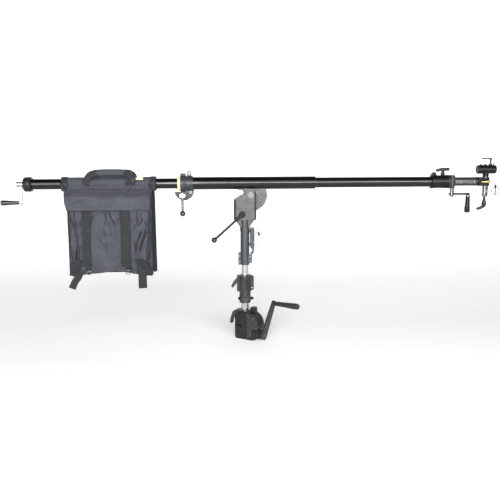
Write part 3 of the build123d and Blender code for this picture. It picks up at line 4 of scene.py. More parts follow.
import bmesh
import bpy
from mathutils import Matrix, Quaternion, Vector, noise
from mathutils.bvhtree import BVHTree


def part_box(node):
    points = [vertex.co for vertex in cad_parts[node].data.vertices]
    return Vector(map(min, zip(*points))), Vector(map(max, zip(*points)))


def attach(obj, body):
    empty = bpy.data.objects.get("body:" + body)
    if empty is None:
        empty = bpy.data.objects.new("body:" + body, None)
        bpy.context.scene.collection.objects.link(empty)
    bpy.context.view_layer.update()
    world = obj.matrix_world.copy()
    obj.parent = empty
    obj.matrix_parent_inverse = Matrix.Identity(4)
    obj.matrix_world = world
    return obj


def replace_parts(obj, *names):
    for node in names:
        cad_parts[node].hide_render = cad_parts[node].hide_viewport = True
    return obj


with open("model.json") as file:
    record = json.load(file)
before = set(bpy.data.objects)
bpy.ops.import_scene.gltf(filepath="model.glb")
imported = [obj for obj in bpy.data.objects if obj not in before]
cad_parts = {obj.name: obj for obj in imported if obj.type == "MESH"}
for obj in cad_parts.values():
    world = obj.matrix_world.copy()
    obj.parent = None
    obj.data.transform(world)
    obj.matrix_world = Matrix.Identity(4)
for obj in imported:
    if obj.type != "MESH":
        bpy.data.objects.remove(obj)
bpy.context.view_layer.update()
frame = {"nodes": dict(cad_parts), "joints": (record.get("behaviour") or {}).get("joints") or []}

# A geared lighting boom with a counterweight bag. The CAD frame carries the tubes, castings, shafts
# and gears; this script adds the bag, the lanyard, the moulded knobs and levers, screw heads on the
# grips, and every finish.
# Metres, +Z up, +X along the boom towards the lamp head, -Y towards the camera.

NODES = frame["nodes"]
MM = 0.001
X, Y, Z = Vector((1, 0, 0)), Vector((0, 1, 0)), Vector((0, 0, 1))


def middle(node):
    low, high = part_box(node)
    return (low + high) / 2


def put(name, data):
    """A new object in the scene."""
    made = bpy.data.objects.new(name, data)
    bpy.context.scene.collection.objects.link(made)
    return made


# ---- node graphs --------------------------------------------------------------------------------
class Graph:
    """A material written as a few calls. Lengths are metres in the piece's own space."""

    def __init__(self, name, **shader):
        self.material = bpy.data.materials.new(name)
        self.material.use_nodes = True
        self.tree = self.material.node_tree
        self.tree.nodes.clear()
        self.shader = self.node("ShaderNodeBsdfPrincipled", **shader)
        output = self.node("ShaderNodeOutputMaterial")
        self.tree.links.new(self.shader.outputs[0], output.inputs[0])
        self.coordinates = self.node("ShaderNodeTexCoord")
        self.place = self.coordinates.outputs["Object"]

    def node(self, kind, settings=None, **inputs):
        made = self.tree.nodes.new(kind)
        for key, value in (settings or {}).items():
            setattr(made, key, value)
        for key, value in inputs.items():
            self.feed(made.inputs[key.replace("_", " ")], value)
        return made

    def feed(self, socket, value):
        if isinstance(value, bpy.types.NodeSocket):
            self.tree.links.new(value, socket)
        else:
            socket.default_value = value

    def set(self, **inputs):
        for key, value in inputs.items():
            self.feed(self.shader.inputs[key.replace("_", " ")], value)

    def noise(self, scale, detail=3.0, rough=0.55, stretch=(1, 1, 1)):
        place = self.place
        if stretch != (1, 1, 1):
            place = self.node("ShaderNodeMapping", Vector=self.place, Scale=stretch).outputs[0]
        return self.node("ShaderNodeTexNoise", Vector=place, Scale=scale, Detail=detail,
                         Roughness=rough).outputs[0]

    def cells(self, scale):
        return self.node("ShaderNodeTexVoronoi", Vector=self.place, Scale=scale).outputs["Distance"]

    def span(self, value, low, high, out_low=0.0, out_high=1.0):
        made = self.node("ShaderNodeMapRange")
        for socket, given in zip(made.inputs, (value, low, high, out_low, out_high)):
            self.feed(socket, given)
        return made.outputs[0]

    def math(self, operation, a, b=0.0):
        made = self.node("ShaderNodeMath", {"operation": operation})
        self.feed(made.inputs[0], a)
        self.feed(made.inputs[1], b)
        return made.outputs[0]

    def times(self, a, b):
        return self.math("MULTIPLY", a, b)

    def plus(self, a, b):
        return self.math("ADD", a, b)

    def mix(self, share, a, b):
        made = self.node("ShaderNodeMix", {"data_type": "RGBA"})
        colours = [socket for socket in made.inputs if socket.type == "RGBA"]
        self.feed(made.inputs[0], share)
        for socket, given in zip(colours, (a, b)):
            self.feed(socket, given if isinstance(given, bpy.types.NodeSocket) else (*given, 1.0))
        return [socket for socket in made.outputs if socket.type == "RGBA"][0]

    def bump(self, height, depth, strength=1.0, below=None):
        made = self.node("ShaderNodeBump", Height=height, Distance=depth, Strength=strength)
        if below:
            self.feed(made.inputs["Normal"], below)
        return made.outputs[0]

    def edges(self, reach):
        """1 on the piece's convex and concave edges, 0 on its faces."""
        rounded = self.node("ShaderNodeBevel", {"samples": 4}, Radius=reach)
        flat = self.node("ShaderNodeNewGeometry")
        dot = self.node("ShaderNodeVectorMath", {"operation": "DOT_PRODUCT"})
        self.feed(dot.inputs[0], rounded.outputs[0])
        self.feed(dot.inputs[1], flat.outputs["Normal"])
        return self.span(dot.outputs["Value"], 0.995, 0.88)

    def axis(self, name):
        return self.node("ShaderNodeSeparateXYZ", Vector=self.place).outputs[name]


def grey(level, warm=0.0):
    return (level * (1 + warm), level, level * (1 - warm))


def scaled(colour, *factors):
    """The colour times one factor, or times one for each channel."""
    return tuple(c * k for c, k in zip(colour, factors * 3))


# ---- finishes -----------------------------------------------------------------------------------
def casting(name, level, cool=0.04, worn=0.22, rough=(0.42, 0.62), metallic=0.0, shine=0.22):
    """Powder-coated casting: orange peel, small pits, colour clouds, paint rubbed thin on edges."""
    g = Graph(name, Metallic=metallic, Specular_IOR_Level=shine)
    cloud = g.noise(38, 4)
    base = g.mix(g.span(cloud, 0.3, 0.7), grey(level * 0.78, -cool), grey(level * 1.2, -cool))
    rub = g.times(g.edges(1.1 * MM), g.span(g.noise(160, 4), 0.42, 0.62))
    g.set(Base_Color=g.mix(rub, base, grey(worn)))
    g.set(Roughness=g.span(g.noise(240, 3), 0.3, 0.7, *rough))
    peel = g.noise(900, 3, 0.6)
    pits = g.span(g.cells(420), 0.0, 0.28)
    g.set(Normal=g.bump(peel, 0.07 * MM, 0.3, g.bump(pits, 0.06 * MM, 0.25)))
    return g.material


def mottled_disc(name):
    """Bare cast friction disc, coarse and darkened in patches."""
    g = Graph(name, Metallic=0.35, Specular_IOR_Level=0.5)
    patches = g.noise(95, 6, 0.7)
    fine = g.noise(520, 4, 0.7)
    base = g.mix(g.span(patches, 0.36, 0.64), grey(0.02), grey(0.13))
    base = g.mix(g.span(fine, 0.35, 0.7), base, grey(0.06))
    g.set(Base_Color=g.mix(g.edges(1.3 * MM), base, grey(0.2)))
    g.set(Roughness=g.span(patches, 0.3, 0.7, 0.62, 0.38))
    g.set(Normal=g.bump(fine, 0.5 * MM, 0.6, g.bump(patches, 0.8 * MM, 0.5)))
    return g.material


def drawn_tube(name, level=0.003, rough=(0.13, 0.2), worn=0.014):
    """Gloss black anodised tube: long draw lines, rub marks from sliding, a little dust."""
    g = Graph(name, Metallic=0.0, Specular_IOR_Level=0.36, Coat_Weight=0.0, Coat_Roughness=0.12)
    lines = g.noise(900, 3, 0.6, (0.012, 1, 1))
    marks = g.span(g.noise(260, 5, 0.7, (0.05, 1, 1)), 0.58, 0.7)
    dust = g.span(g.noise(18, 5, 0.65), 0.45, 0.75, 0.0, 0.5)
    base = g.mix(g.times(marks, dust), grey(level, -0.05), grey(worn, -0.03))
    g.set(Base_Color=g.mix(g.times(g.edges(0.8 * MM), 0.8), base, grey(0.25)))
    g.set(Roughness=g.span(g.plus(lines, g.times(marks, 0.3)), 0.3, 0.9, *rough))
    g.set(Normal=g.bump(lines, 0.03 * MM, 0.35))
    return g.material


def painted_steel(name, level, rough=(0.3, 0.42), cool=0.08):
    """Satin painted steel tube with soft mottling and chips at its ends."""
    g = Graph(name, Metallic=0.7, Specular_IOR_Level=0.5)
    cloud = g.noise(30, 4, 0.6, (1, 1, 0.25))
    base = g.mix(cloud, grey(level * 0.92, -cool), grey(level * 1.08, -cool))
    chips = g.times(g.edges(0.8 * MM), g.span(g.noise(210, 4, 0.7), 0.55, 0.66, 0.0, 0.5))
    g.set(Base_Color=g.mix(chips, base, grey(0.4)))
    g.set(Roughness=g.span(g.noise(60, 4), 0.3, 0.7, *rough))
    g.set(Normal=g.bump(g.noise(800, 2), 0.006 * MM, 0.15))
    return g.material


def metal(name, colour, rough, lines=(1, 1, 1), worn=0.75, scale=700, depth=0.05):
    """Bare or plated metal with tool lines along one direction and handling smears."""
    g = Graph(name, Metallic=1.0)
    grain = g.noise(scale, 3, 0.6, lines)
    smear = g.noise(60, 4, 0.65)
    g.set(Base_Color=g.mix(g.span(smear, 0.35, 0.7), colour, scaled(colour, worn)))
    spread = g.plus(g.times(grain, 0.6), g.times(smear, 0.4))
    g.set(Roughness=g.span(spread, 0.3, 0.7, *rough))
    g.set(Normal=g.bump(grain, depth * MM, 0.4))
    return g.material


def plastic(name, level, rough, peel=0.04, scale=600, cool=0.02, coat=0.0):
    """Moulded plastic: faint texture, scuffs that are paler and rougher than the skin."""
    g = Graph(name, Metallic=0.0, Specular_IOR_Level=0.25, Coat_Weight=coat, Coat_Roughness=0.08)
    scuff = g.span(g.noise(75, 6, 0.75), 0.56, 0.7)
    g.set(Base_Color=g.mix(g.times(scuff, 0.5), grey(level, -cool), grey(level * 2.2 + 0.02)))
    g.set(Roughness=g.span(scuff, 0.0, 1.0, *rough))
    g.set(Normal=g.bump(g.noise(scale, 3), peel * MM, 0.4))
    return g.material


def nylon_liner(name, colour):
    """Cast nylon, waxy, with yellower stains."""
    g = Graph(name, Metallic=0.0, Subsurface_Weight=0.25, Subsurface_Scale=0.003)
    stain = g.noise(120, 4)
    g.set(Base_Color=g.mix(g.span(stain, 0.35, 0.7), colour, scaled(colour, 0.8, 0.72, 0.5)))
    g.set(Roughness=g.span(stain, 0.3, 0.7, 0.35, 0.5))
    g.set(Normal=g.bump(g.noise(900, 2), 0.04 * MM, 0.4))
    return g.material


def woven(name, colour, thread, slack=0.18, sheen=0.12, bars=0.0, inner=False):
    """Plain weave on every face, with painted shade in its hollows; bars are ladder stripes, and
    inner paints shade on the faces that look inwards or along the boom, which little light reaches."""
    g = Graph(name, Metallic=0.0, Specular_IOR_Level=0.2)
    g.set(Sheen_Weight=sheen, Sheen_Roughness=0.45)
    wobble = g.node("ShaderNodeVectorMath", {"operation": "SCALE"}, Scale=0.25 * thread)
    g.feed(wobble.inputs[0], g.node("ShaderNodeTexNoise", Vector=g.place,
                                      Scale=90.0).outputs["Color"])
    shifted = g.node("ShaderNodeVectorMath", {"operation": "ADD"})
    g.feed(shifted.inputs[0], g.place)
    g.feed(shifted.inputs[1], wobble.outputs[0])
    parts = g.node("ShaderNodeSeparateXYZ", Vector=shifted.outputs[0])
    waves = {}
    for axis in "XYZ":
        turned = g.times(parts.outputs[axis], math.pi / thread)
        waves[axis] = g.math("ABSOLUTE", g.math("SINE", turned))
    facing = g.node("ShaderNodeSeparateXYZ", Vector=g.coordinates.outputs["Normal"])
    height = 0.0
    for across, along, out in (("X", "Z", "Y"), ("Y", "Z", "X"), ("X", "Y", "Z")):
        cloth = g.times(waves[across], waves[along])
        share = g.math("POWER", g.math("ABSOLUTE", facing.outputs[out]), 2.0)
        height = g.plus(height, g.times(cloth, share))
    fibre = g.noise(0.5 / thread, 4, 0.7)
    cloud = g.noise(16, 5, 0.6)
    shade = g.plus(g.times(height, 0.45), g.times(fibre, 0.25))
    base = g.mix(g.span(shade, 0.05, 0.55), scaled(colour, 1 - slack - 0.3),
                 scaled(colour, 1 + slack))
    faded = tuple(c * 1.35 + 0.008 for c in colour)
    base = g.mix(g.span(cloud, 0.42, 0.8, 0.0, 0.45), base, faded)
    # Painted shade: an ambient occlusion mask darkens the colour in hollows and creases, where less
    # light falls.
    hollow = g.node("ShaderNodeAmbientOcclusion", {"samples": 6}, Distance=0.035)
    base = g.mix(g.span(hollow.outputs["AO"], 0.25, 0.92, 0.68, 0.0), base, scaled(colour, 0.22))
    # Painted shade: faces turned along the boom, and faces that look in towards the boom, take a
    # darker copy of the colour.
    if inner:
        turned = g.math("ABSOLUTE", facing.outputs["X"])
        base = g.mix(g.span(turned, 0.2, 0.62, 0.0, 0.8), base, scaled(colour, 0.2))
        inward = g.times(facing.outputs["Y"], g.axis("Y"))
        base = g.mix(g.span(inward, -0.02, -0.004, 0.72, 0.0), base, scaled(colour, 0.2))
    if bars:
        wave = g.math("SINE", g.times(g.axis("Z"), 2 * math.pi / bars))
        base = g.mix(g.span(wave, -0.25, 0.35, 0.6, 0.0), base, scaled(colour, 0.25))
    g.set(Base_Color=base)
    g.set(Roughness=g.span(fibre, 0.3, 0.7, 0.62, 0.8))
    g.set(Normal=g.bump(g.plus(height, g.times(fibre, 0.4)), 0.35 * thread, 0.7))
    return g.material


FINISH = {}


def add_finish(name, maker, *given, **more):
    FINISH[name] = maker(name, *given, **more)


add_finish("cast_grey", casting, 0.036, rough=(0.34, 0.5), metallic=0.25)
add_finish("gear_case", casting, 0.019, worn=0.14, rough=(0.32, 0.46), metallic=0.15)
add_finish("yoke_grey", casting, 0.068, cool=0.01, worn=0.07, rough=(0.30, 0.42), metallic=0.55,
           shine=0.5)
add_finish("black_casting", casting, 0.006, worn=0.06, rough=(0.24, 0.38), metallic=0.1)
add_finish("collar_grey", casting, 0.040, cool=0.03, worn=0.32, rough=(0.3, 0.44), metallic=0.35)
add_finish("disc_grey", mottled_disc)
add_finish("black_tube", drawn_tube)
add_finish("front_black", drawn_tube, 0.004, (0.3, 0.42))
add_finish("sleeve_steel", painted_steel, 0.075, (0.26, 0.3))
add_finish("chrome", metal, (0.56, 0.56, 0.58), (0.06, 0.14), (1, 1, 0.05))
add_finish("dark_chrome", metal, (0.17, 0.17, 0.18), (0.12, 0.24), (1, 1, 0.05))
add_finish("dark_wire", metal, (0.05, 0.05, 0.055), (0.2, 0.35))
add_finish("steel", metal, (0.17, 0.17, 0.18), (0.26, 0.42), (1, 1, 1), 0.6)
add_finish("oiled_steel", metal, (0.20, 0.19, 0.20), (0.3, 0.5), (1, 1, 1), 0.55)
add_finish("bright_arm", metal, (0.46, 0.46, 0.48), (0.24, 0.38), (1, 1, 0.06))
add_finish("bronze", metal, (0.55, 0.38, 0.18), (0.3, 0.45))
add_finish("brass", metal, (0.48, 0.40, 0.19), (0.16, 0.3), (0.06, 1, 1), 0.8)
add_finish("black_plastic", plastic, 0.010, (0.10, 0.32), 0.02, coat=0.6)
add_finish("satin_plastic", plastic, 0.014, (0.32, 0.5), 0.08, 900)
add_finish("rubber_grip", plastic, 0.022, (0.42, 0.62), 0.18, 1100)
add_finish("cream_liner", nylon_liner, (0.80, 0.76, 0.42))
add_finish("bag_fabric", woven, (0.050, 0.053, 0.065), 0.9 * MM, inner=True)
add_finish("webbing", woven, (0.022, 0.024, 0.028), 1.5 * MM, slack=0.3, sheen=0.08)
add_finish("ladder", woven, (0.027, 0.029, 0.034), 1.5 * MM, slack=0.3, sheen=0.1, bars=8.5 * MM)
add_finish("binding", woven, (0.018, 0.019, 0.023), 1.0 * MM, sheen=0.1)
add_finish("label", woven, (0.62, 0.56, 0.38), 0.5 * MM, sheen=0.1)
add_finish("thread", plastic, 0.05, (0.6, 0.75))
add_finish("lanyard_wire", metal, (0.22, 0.22, 0.23), (0.22, 0.4), (1, 1, 1), 0.5, 1500, 0.12)

CAD_FINISH = {  # finish, then the CAD nodes that have it
    "gear_case": "winch_housing",
    "cast_grey": "gear_cover riser_lock_lever winch_crank_arm riser_collar collar_lever "
                 "clamp_ring",
    "steel": "cover_screws worm_shaft bracket_wire yoke_bolts collar_bolts drive_tube",
    "bronze": "winch_bushes rear_bearing front_bush",
    "rubber_grip": "winch_grip tail_bush",
    "oiled_steel": "winch_gear rack_gear sleeve_bolts front_rack drive_rod",
    "chrome": "lower_riser upper_riser cam_lever extension_pinion head_post",
    "black_casting": "collar_cross_bolt tilt_lever front_collar extension_crank_arm head_block "
                     "lamp_socket",
    "satin_plastic": "collar_latch rear_cap wing_knob ratchet_lever",
    "sleeve_steel": "stand_sleeve sleeve_bracket",
    "yoke_grey": "yoke",
    "black_plastic": "tilt_lever_ball cam_lever_ball rear_grip extension_grip",
    "black_tube": "outer_tube inner_tube",
    "disc_grey": "tilt_disc",
    "collar_grey": "main_collar pinion_bracket",
    "cream_liner": "collar_liner",
    "dark_chrome": "bag_buckles",
    "bright_arm": "rear_crank_arm",
    "front_black": "front_tube",
    "brass": "brass_screw",
    "dark_wire": "safety_pin t_screw",
}

ROUNDED = {  # CAD node, then the width of the soft edge put on it, in mm
    "yoke": 1.1, "winch_housing": 1.2, "gear_cover": 0.9, "riser_collar": 0.9, "main_collar": 1.0,
    "lamp_socket": 0.8, "head_block": 0.8, "front_collar": 0.8, "winch_crank_arm": 1.2,
    "clamp_ring": 0.8, "pinion_bracket": 0.8, "collar_lever": 1.2,
}


def finish_frame():
    for finish, nodes in CAD_FINISH.items():
        for node in nodes.split():
            materials = NODES[node].data.materials
            materials.clear()
            materials.append(FINISH[finish])
    for node, width in ROUNDED.items():
        modify(NODES[node], "WELD", merge_threshold=0.002 * MM)
        modify(NODES[node], "BEVEL", width=width * MM, segments=2, limit_method="ANGLE",
               angle_limit=math.radians(38), use_clamp_overlap=True, harden_normals=False)
        modify(NODES[node], "WEIGHTED_NORMAL", keep_sharp=True)


# ---- stage --------------------------------------------------------------------------------------
CAMERA_PLACE = Vector((-0.137, -2.790, 0.919))
CAMERA_TURN, CAMERA_DOWN, CAMERA_ROLL = math.radians(3.28), math.radians(10.5), math.radians(-0.13)
LENS = 45.8


def make_camera():
    data = bpy.data.cameras.new("camera")
    data.lens, data.sensor_width = LENS, 36.0
    data.clip_start, data.clip_end = 0.05, 60.0
    camera = put("camera", data)
    ahead = Vector((math.sin(CAMERA_TURN) * math.cos(CAMERA_DOWN),
                    math.cos(CAMERA_TURN) * math.cos(CAMERA_DOWN), -math.sin(CAMERA_DOWN)))
    camera.rotation_mode = "QUATERNION"
    camera.rotation_quaternion = ahead.to_track_quat("-Z", "Y") @ Quaternion((0, 0, 1), CAMERA_ROLL)
    camera.location = CAMERA_PLACE
    bpy.context.scene.camera = camera


def soft_light(name, place, target, size, power):
    data = bpy.data.lights.new(name, "AREA")
    data.shape = "RECTANGLE"
    data.size, data.size_y = size
    data.energy = power
    lamp = put(name, data)
    lamp.location = place
    lamp.rotation_mode = "QUATERNION"
    lamp.rotation_quaternion = (Vector(target) - Vector(place)).to_track_quat("-Z", "Y")


def make_stage():
    """Pale floor that sweeps up into a backdrop, four soft boxes and the sky."""
    sweep, width, start, bend, steps = [], 14.0, 2.4, 1.8, 12
    for step in range(steps + 1):
        angle = math.pi / 2 * step / steps
        sweep.append((start + bend * math.sin(angle), bend - bend * math.cos(angle)))
    line = [(-7.0, 0.0), (0.0, 0.0), *sweep, (start + bend, 2.9)]
    points = [(x, y, z - 0.001) for y, z in line for x in (-width / 2, width / 2)]
    faces = [(2 * i, 2 * i + 1, 2 * i + 3, 2 * i + 2) for i in range(len(line) - 1)]
    mesh = bpy.data.meshes.new("floor")
    mesh.from_pydata(points, [], faces)
    for face in mesh.polygons:
        face.use_smooth = True
    floor = put("floor", mesh)
    g = Graph("floor_paper", Roughness=0.9, Specular_IOR_Level=0.2)
    g.set(Emission_Color=(1.0, 1.0, 1.0, 1.0),
          Emission_Strength=g.span(g.axis("Y"), 0.2, 3.0, 0.26, 0.86))
    g.set(Base_Color=g.mix(g.noise(2.0, 3), grey(0.66), grey(0.70)))
    g.set(Normal=g.bump(g.noise(300, 3), 0.2 * MM, 0.2))
    mesh.materials.append(g.material)

    make_sky()
    bpy.context.scene.view_settings.view_transform = "Standard"
    soft_light("strip", (0.1, -3.0, 2.75), (0, 0, 0.7), (5.6, 0.6), 60)
    soft_light("front", (0.1, -3.7, 1.4), (0, 0, 0.65), (5.6, 0.75), 290)
    soft_light("slot", (-0.5, -3.3, 1.25), (-0.1, 0, 0.45), (0.32, 2.0), 30)
    soft_light("rim", (0.4, 2.0, 2.9), (0, 0, 0.6), (4.0, 0.4), 14)


def make_sky():
    """Pale at the horizon, dark overhead and at the sides, so that polish shows its form."""
    world = bpy.data.worlds.new("sky")
    world.use_nodes = True
    tree = world.node_tree
    tree.nodes.clear()

    def node(kind, *feeds):
        made = tree.nodes.new(kind)
        for socket, source in zip(made.inputs, feeds):
            tree.links.new(source, socket)
        return made

    def ramp(source, first, last):
        made = node("ShaderNodeValToRGB", source)
        for stop, (position, colour) in zip(made.color_ramp.elements, (first, last)):
            stop.position, stop.color = position, (*colour, 1)
        return made

    view = node("ShaderNodeTexCoord").outputs["Generated"]
    parts = node("ShaderNodeSeparateXYZ", view)
    rise = ramp(parts.outputs["Z"], (0.0, grey(0.9)), (0.62, (0.03, 0.03, 0.032)))
    rise.color_ramp.elements.new(0.30).color = (0.62, 0.62, 0.64, 1)
    sides = node("ShaderNodeMath", parts.outputs["X"])
    sides.operation = "ABSOLUTE"
    shade = ramp(sides.outputs[0], (0.30, grey(1.0)), (0.72, grey(0.05)))
    both = tree.nodes.new("ShaderNodeMix")
    both.data_type, both.blend_type = "RGBA", "MULTIPLY"
    both.inputs[0].default_value = 1.0
    colours = [socket for socket in both.inputs if socket.type == "RGBA"]
    for ramp_made, socket in zip((rise, shade), colours):
        tree.links.new(ramp_made.outputs[0], socket)
    mixed = [socket for socket in both.outputs if socket.type == "RGBA"][0]
    ground = node("ShaderNodeBackground", mixed)
    ground.inputs[1].default_value = 0.8
    node("ShaderNodeOutputWorld", ground.outputs[0])
    bpy.context.scene.world = world


# ---- mesh building ------------------------------------------------------------------------------
def new_piece(name, points, faces, finish, body):
    mesh = bpy.data.meshes.new(name)
    mesh.from_pydata([tuple(p) for p in points], [], faces)
    mesh.validate()
    for face in mesh.polygons:
        face.use_smooth = True
    mesh.materials.append(FINISH[finish])
    piece = put(name, mesh)
    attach(piece, body)
    return piece


def grid_faces(rows, columns, wrap=False):
    """Quads over a grid of rows by columns of points; wrap joins the last column to the first."""
    faces = []
    for row in range(rows - 1):
        for column in range(columns if wrap else columns - 1):
            beside = (column + 1) % columns
            here, below = row * columns, (row + 1) * columns
            faces.append((here + column, here + beside, below + beside, below + column))
    return faces


def modify(piece, kind, **settings):
    made = piece.modifiers.new(kind.lower(), kind)
    for key, value in settings.items():
        setattr(made, key, value)
    return made


def flatten(piece):
    """Applies the piece's modifiers, so that its mesh is final."""
    graph = bpy.context.evaluated_depsgraph_get()
    mesh = bpy.data.meshes.new_from_object(piece.evaluated_get(graph))
    piece.modifiers.clear()
    piece.data = mesh
    return piece


def smoothstep(low, high, value):
    share = min(1.0, max(0.0, (value - low) / (high - low)))
    return share * share * (3 - 2 * share)


def through(knots, value):
    """A smooth curve through (position, value) knots, with no overshoot."""
    for (a, va), (b, vb) in zip(knots, knots[1:]):
        if value <= b:
            return va + (vb - va) * smoothstep(a, b, value)
    return knots[-1][1]


# ---- bag ----------------------------------------------------------------------------------------
SLEEVE_LOW, SLEEVE_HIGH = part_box("bag_sleeve")
BOOM_Z = middle("inner_tube").z
BAG_X = middle("bag_sleeve").x
RING_INSET = 9.0
RINGS = [(corner.x - BAG_X) / MM + inset
         for corner, inset in zip(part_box("bag_buckles"), (RING_INSET, -RING_INSET))]


def ripple(x, z, seed, size):
    """Soft uneven folds, mostly running down and across, in metres."""
    slow = noise.noise(Vector((x * 9, z * 6, seed)))
    quick = noise.noise(Vector((x * 26 + slow, z * 17, seed + 4.2)))
    return size * (0.7 * slow + 0.3 * quick)


def crumple(x, z, seed):
    """Sharp little ridges that wander over slack nylon, 0 to 1."""
    slow = noise.noise(Vector((x * 5, z * 5, seed + 2.1)))
    first = noise.noise(Vector((x * 10 + 1.5 * slow, z * 13 - slow, seed + 7.7)))
    second = noise.noise(Vector((x * 19 - slow, z * 15 + 2 * slow, seed + 12.9)))
    return max(0.0, 1 - 7 * abs(first)) ** 1.5 + 0.5 * max(0.0, 1 - 6 * abs(second)) ** 1.5


def crease(x, z, start, end, width, depth):
    """A fold along a straight run from start to end: a ridge with a hollow beside it."""
    ax, az, bx, bz = *start, *end
    run = math.hypot(bx - ax, bz - az)
    along = ((x - ax) * (bx - ax) + (z - az) * (bz - az)) / run
    off = ((x - ax) * (bz - az) - (z - az) * (bx - ax)) / run
    if along < -2 * width or along > run + 2 * width:
        return 0.0
    fade = smoothstep(-2 * width, run * 0.3, along)
    fade *= 1 - smoothstep(run * 0.6, run + 2 * width, along)
    t = off / width
    return depth * fade * (math.exp(-t * t) - 0.7 * math.exp(-(t - 1.3) ** 2))


def at(x, out, down, side=-1):
    """A point of the bag from mm: x across from its middle, out from the boom, down below it."""
    return Vector((BAG_X + x * MM, side * out * MM, BOOM_Z - down * MM))


def bag_line(points, side=-1):
    return [at(x, out, down, side) for x, out, down in points]


def tidy_normals(piece):
    work = bmesh.new()
    work.from_mesh(piece.data)
    bmesh.ops.recalc_face_normals(work, faces=work.faces[:])
    work.to_mesh(piece.data)
    work.free()
    return piece


def thicken(piece, thick):
    """Gives a cloth piece its thickness, in mm."""
    modify(piece, "SOLIDIFY", thickness=thick * MM, offset=0.0)
    tidy_normals(flatten(piece))


def make_sheet(name, surface, columns, rows, finish, thick):
    """A cloth panel from surface(u, v), u across and v down, both 0 to 1."""
    points = [surface(column / (columns - 1), row / (rows - 1))
              for row in range(rows) for column in range(columns)]
    piece = new_piece(name, points, grid_faces(rows, columns), finish, "bag")
    thicken(piece, thick)
    return piece


def spaced(line, pitch):
    """Points at an even pitch along a polyline."""
    marks = [0.0]
    for a, b in zip(line, line[1:]):
        marks.append(marks[-1] + (b - a).length)
    count = max(2, int(round(marks[-1] / pitch)) + 1)
    points, leg = [], 0
    for step in range(count):
        want = marks[-1] * step / (count - 1)
        while leg < len(line) - 2 and marks[leg + 1] < want:
            leg += 1
        share = (want - marks[leg]) / max(1e-9, marks[leg + 1] - marks[leg])
        points.append(line[leg].lerp(line[leg + 1], min(1.0, max(0.0, share))))
    return points


def rounded(line, times=3):
    """The polyline with its corners cut, ends kept."""
    for _ in range(times):
        cut = [line[0]]
        for a, b in zip(line, line[1:]):
            cut += [a.lerp(b, 0.25), a.lerp(b, 0.75)]
        line = [*cut, line[-1]]
    return line


def headings(line):
    """Each point of a line with its unit direction there."""
    return [(place, (after - before).normalized())
            for before, place, after in zip([line[0], *line], line, [*line[1:], line[-1]])]


def webbing(name, line, width, across, thick=1.8, bar=8.5, ridge=0.7, finish="webbing"):
    """Flat woven strap along a line, raised in ladder bars across it; all in mm but the points."""
    pitch = 2.1
    centre = spaced(rounded(line, 2), pitch * MM)
    points, columns = [], 9
    for index, (place, along) in enumerate(headings(centre)):
        side = (across - along * across.dot(along)).normalized()
        face = side.cross(along).normalized()
        wave = 0.5 + 0.5 * math.sin(2 * math.pi * index * pitch / bar)
        for column in range(columns):
            share = column / (columns - 1) * 2 - 1
            lift = ridge * smoothstep(0.35, 0.65, wave) * (1 - abs(share) ** 6)
            lift -= 0.35 * share * share
            points.append(place + side * (share * width / 2 * MM) + face * (lift * MM))
    piece = new_piece(name, points, grid_faces(len(centre), columns), finish, "bag")
    thicken(piece, thick)
    return piece


def ring(centre, wide, tall, power=2.0, count=28):
    """A closed outline round a centre, from an ellipse (2) towards a rounded box (4 and up)."""
    points = []
    for step in range(count):
        turn = 2 * math.pi * step / count
        c, s = math.cos(turn), math.sin(turn)
        points.append(centre + wide * (math.copysign(abs(c) ** (2 / power), c))
                      + tall * (math.copysign(abs(s) ** (2 / power), s)))
    return points


def loft(name, rings, finish, body, slot):
    """Skin over closed outlines with the same number of points, capped at both ends."""
    points = [p for outline in rings for p in outline]
    count = len(rings[0])
    faces = grid_faces(len(rings), count, True)
    faces.append(tuple(range(count)))
    faces.append(tuple(range(len(points) - count, len(points))))
    piece = tidy_normals(new_piece(name, points, faces, finish, body))
    return piece


def settle(piece, held, frames, pressure, slack, reach):
    """Cloth simulation from the shaped mesh, cut a little large so that it buckles. No point
    moves further than reach."""
    begin = [vertex.co.copy() for vertex in piece.data.vertices]
    group = piece.vertex_groups.new(name="held")
    group.add(held, 1.0, "REPLACE")
    cloth = modify(piece, "CLOTH")
    settings = cloth.settings
    settings.vertex_group_mass = "held"
    settings.quality, settings.mass = 5, 0.25
    settings.tension_stiffness = settings.compression_stiffness = 14
    settings.shear_stiffness, settings.bending_stiffness = 8, 0.35
    settings.shrink_min = -slack
    settings.use_pressure, settings.uniform_pressure_force = True, pressure
    cloth.collision_settings.use_collision = False
    cloth.point_cache.frame_start, cloth.point_cache.frame_end = 1, frames
    for step in range(1, frames + 1):
        bpy.context.scene.frame_set(step)
    graph = bpy.context.evaluated_depsgraph_get()
    moved = [vertex.co.copy() for vertex in piece.evaluated_get(graph).data.vertices]
    for vertex, first, now in zip(piece.data.vertices, begin, moved):
        move = now - first
        if move.length > reach:
            move *= reach / move.length
        vertex.co = first + move
    piece.modifiers.clear()
    piece.vertex_groups.clear()
    bpy.context.scene.frame_set(1)


class Skin:
    """Where a piece's outer face lies, seen from one side of the boom."""

    def __init__(self, piece, side):
        self.tree = BVHTree.FromObject(piece, bpy.context.evaluated_depsgraph_get())
        self.side = side

    def out(self, x, down, default):
        start = at(x, 300, down, self.side)
        hit = self.tree.ray_cast(start, Vector((0, -self.side, 0)))[0]
        return default if hit is None else abs(hit.y) / MM


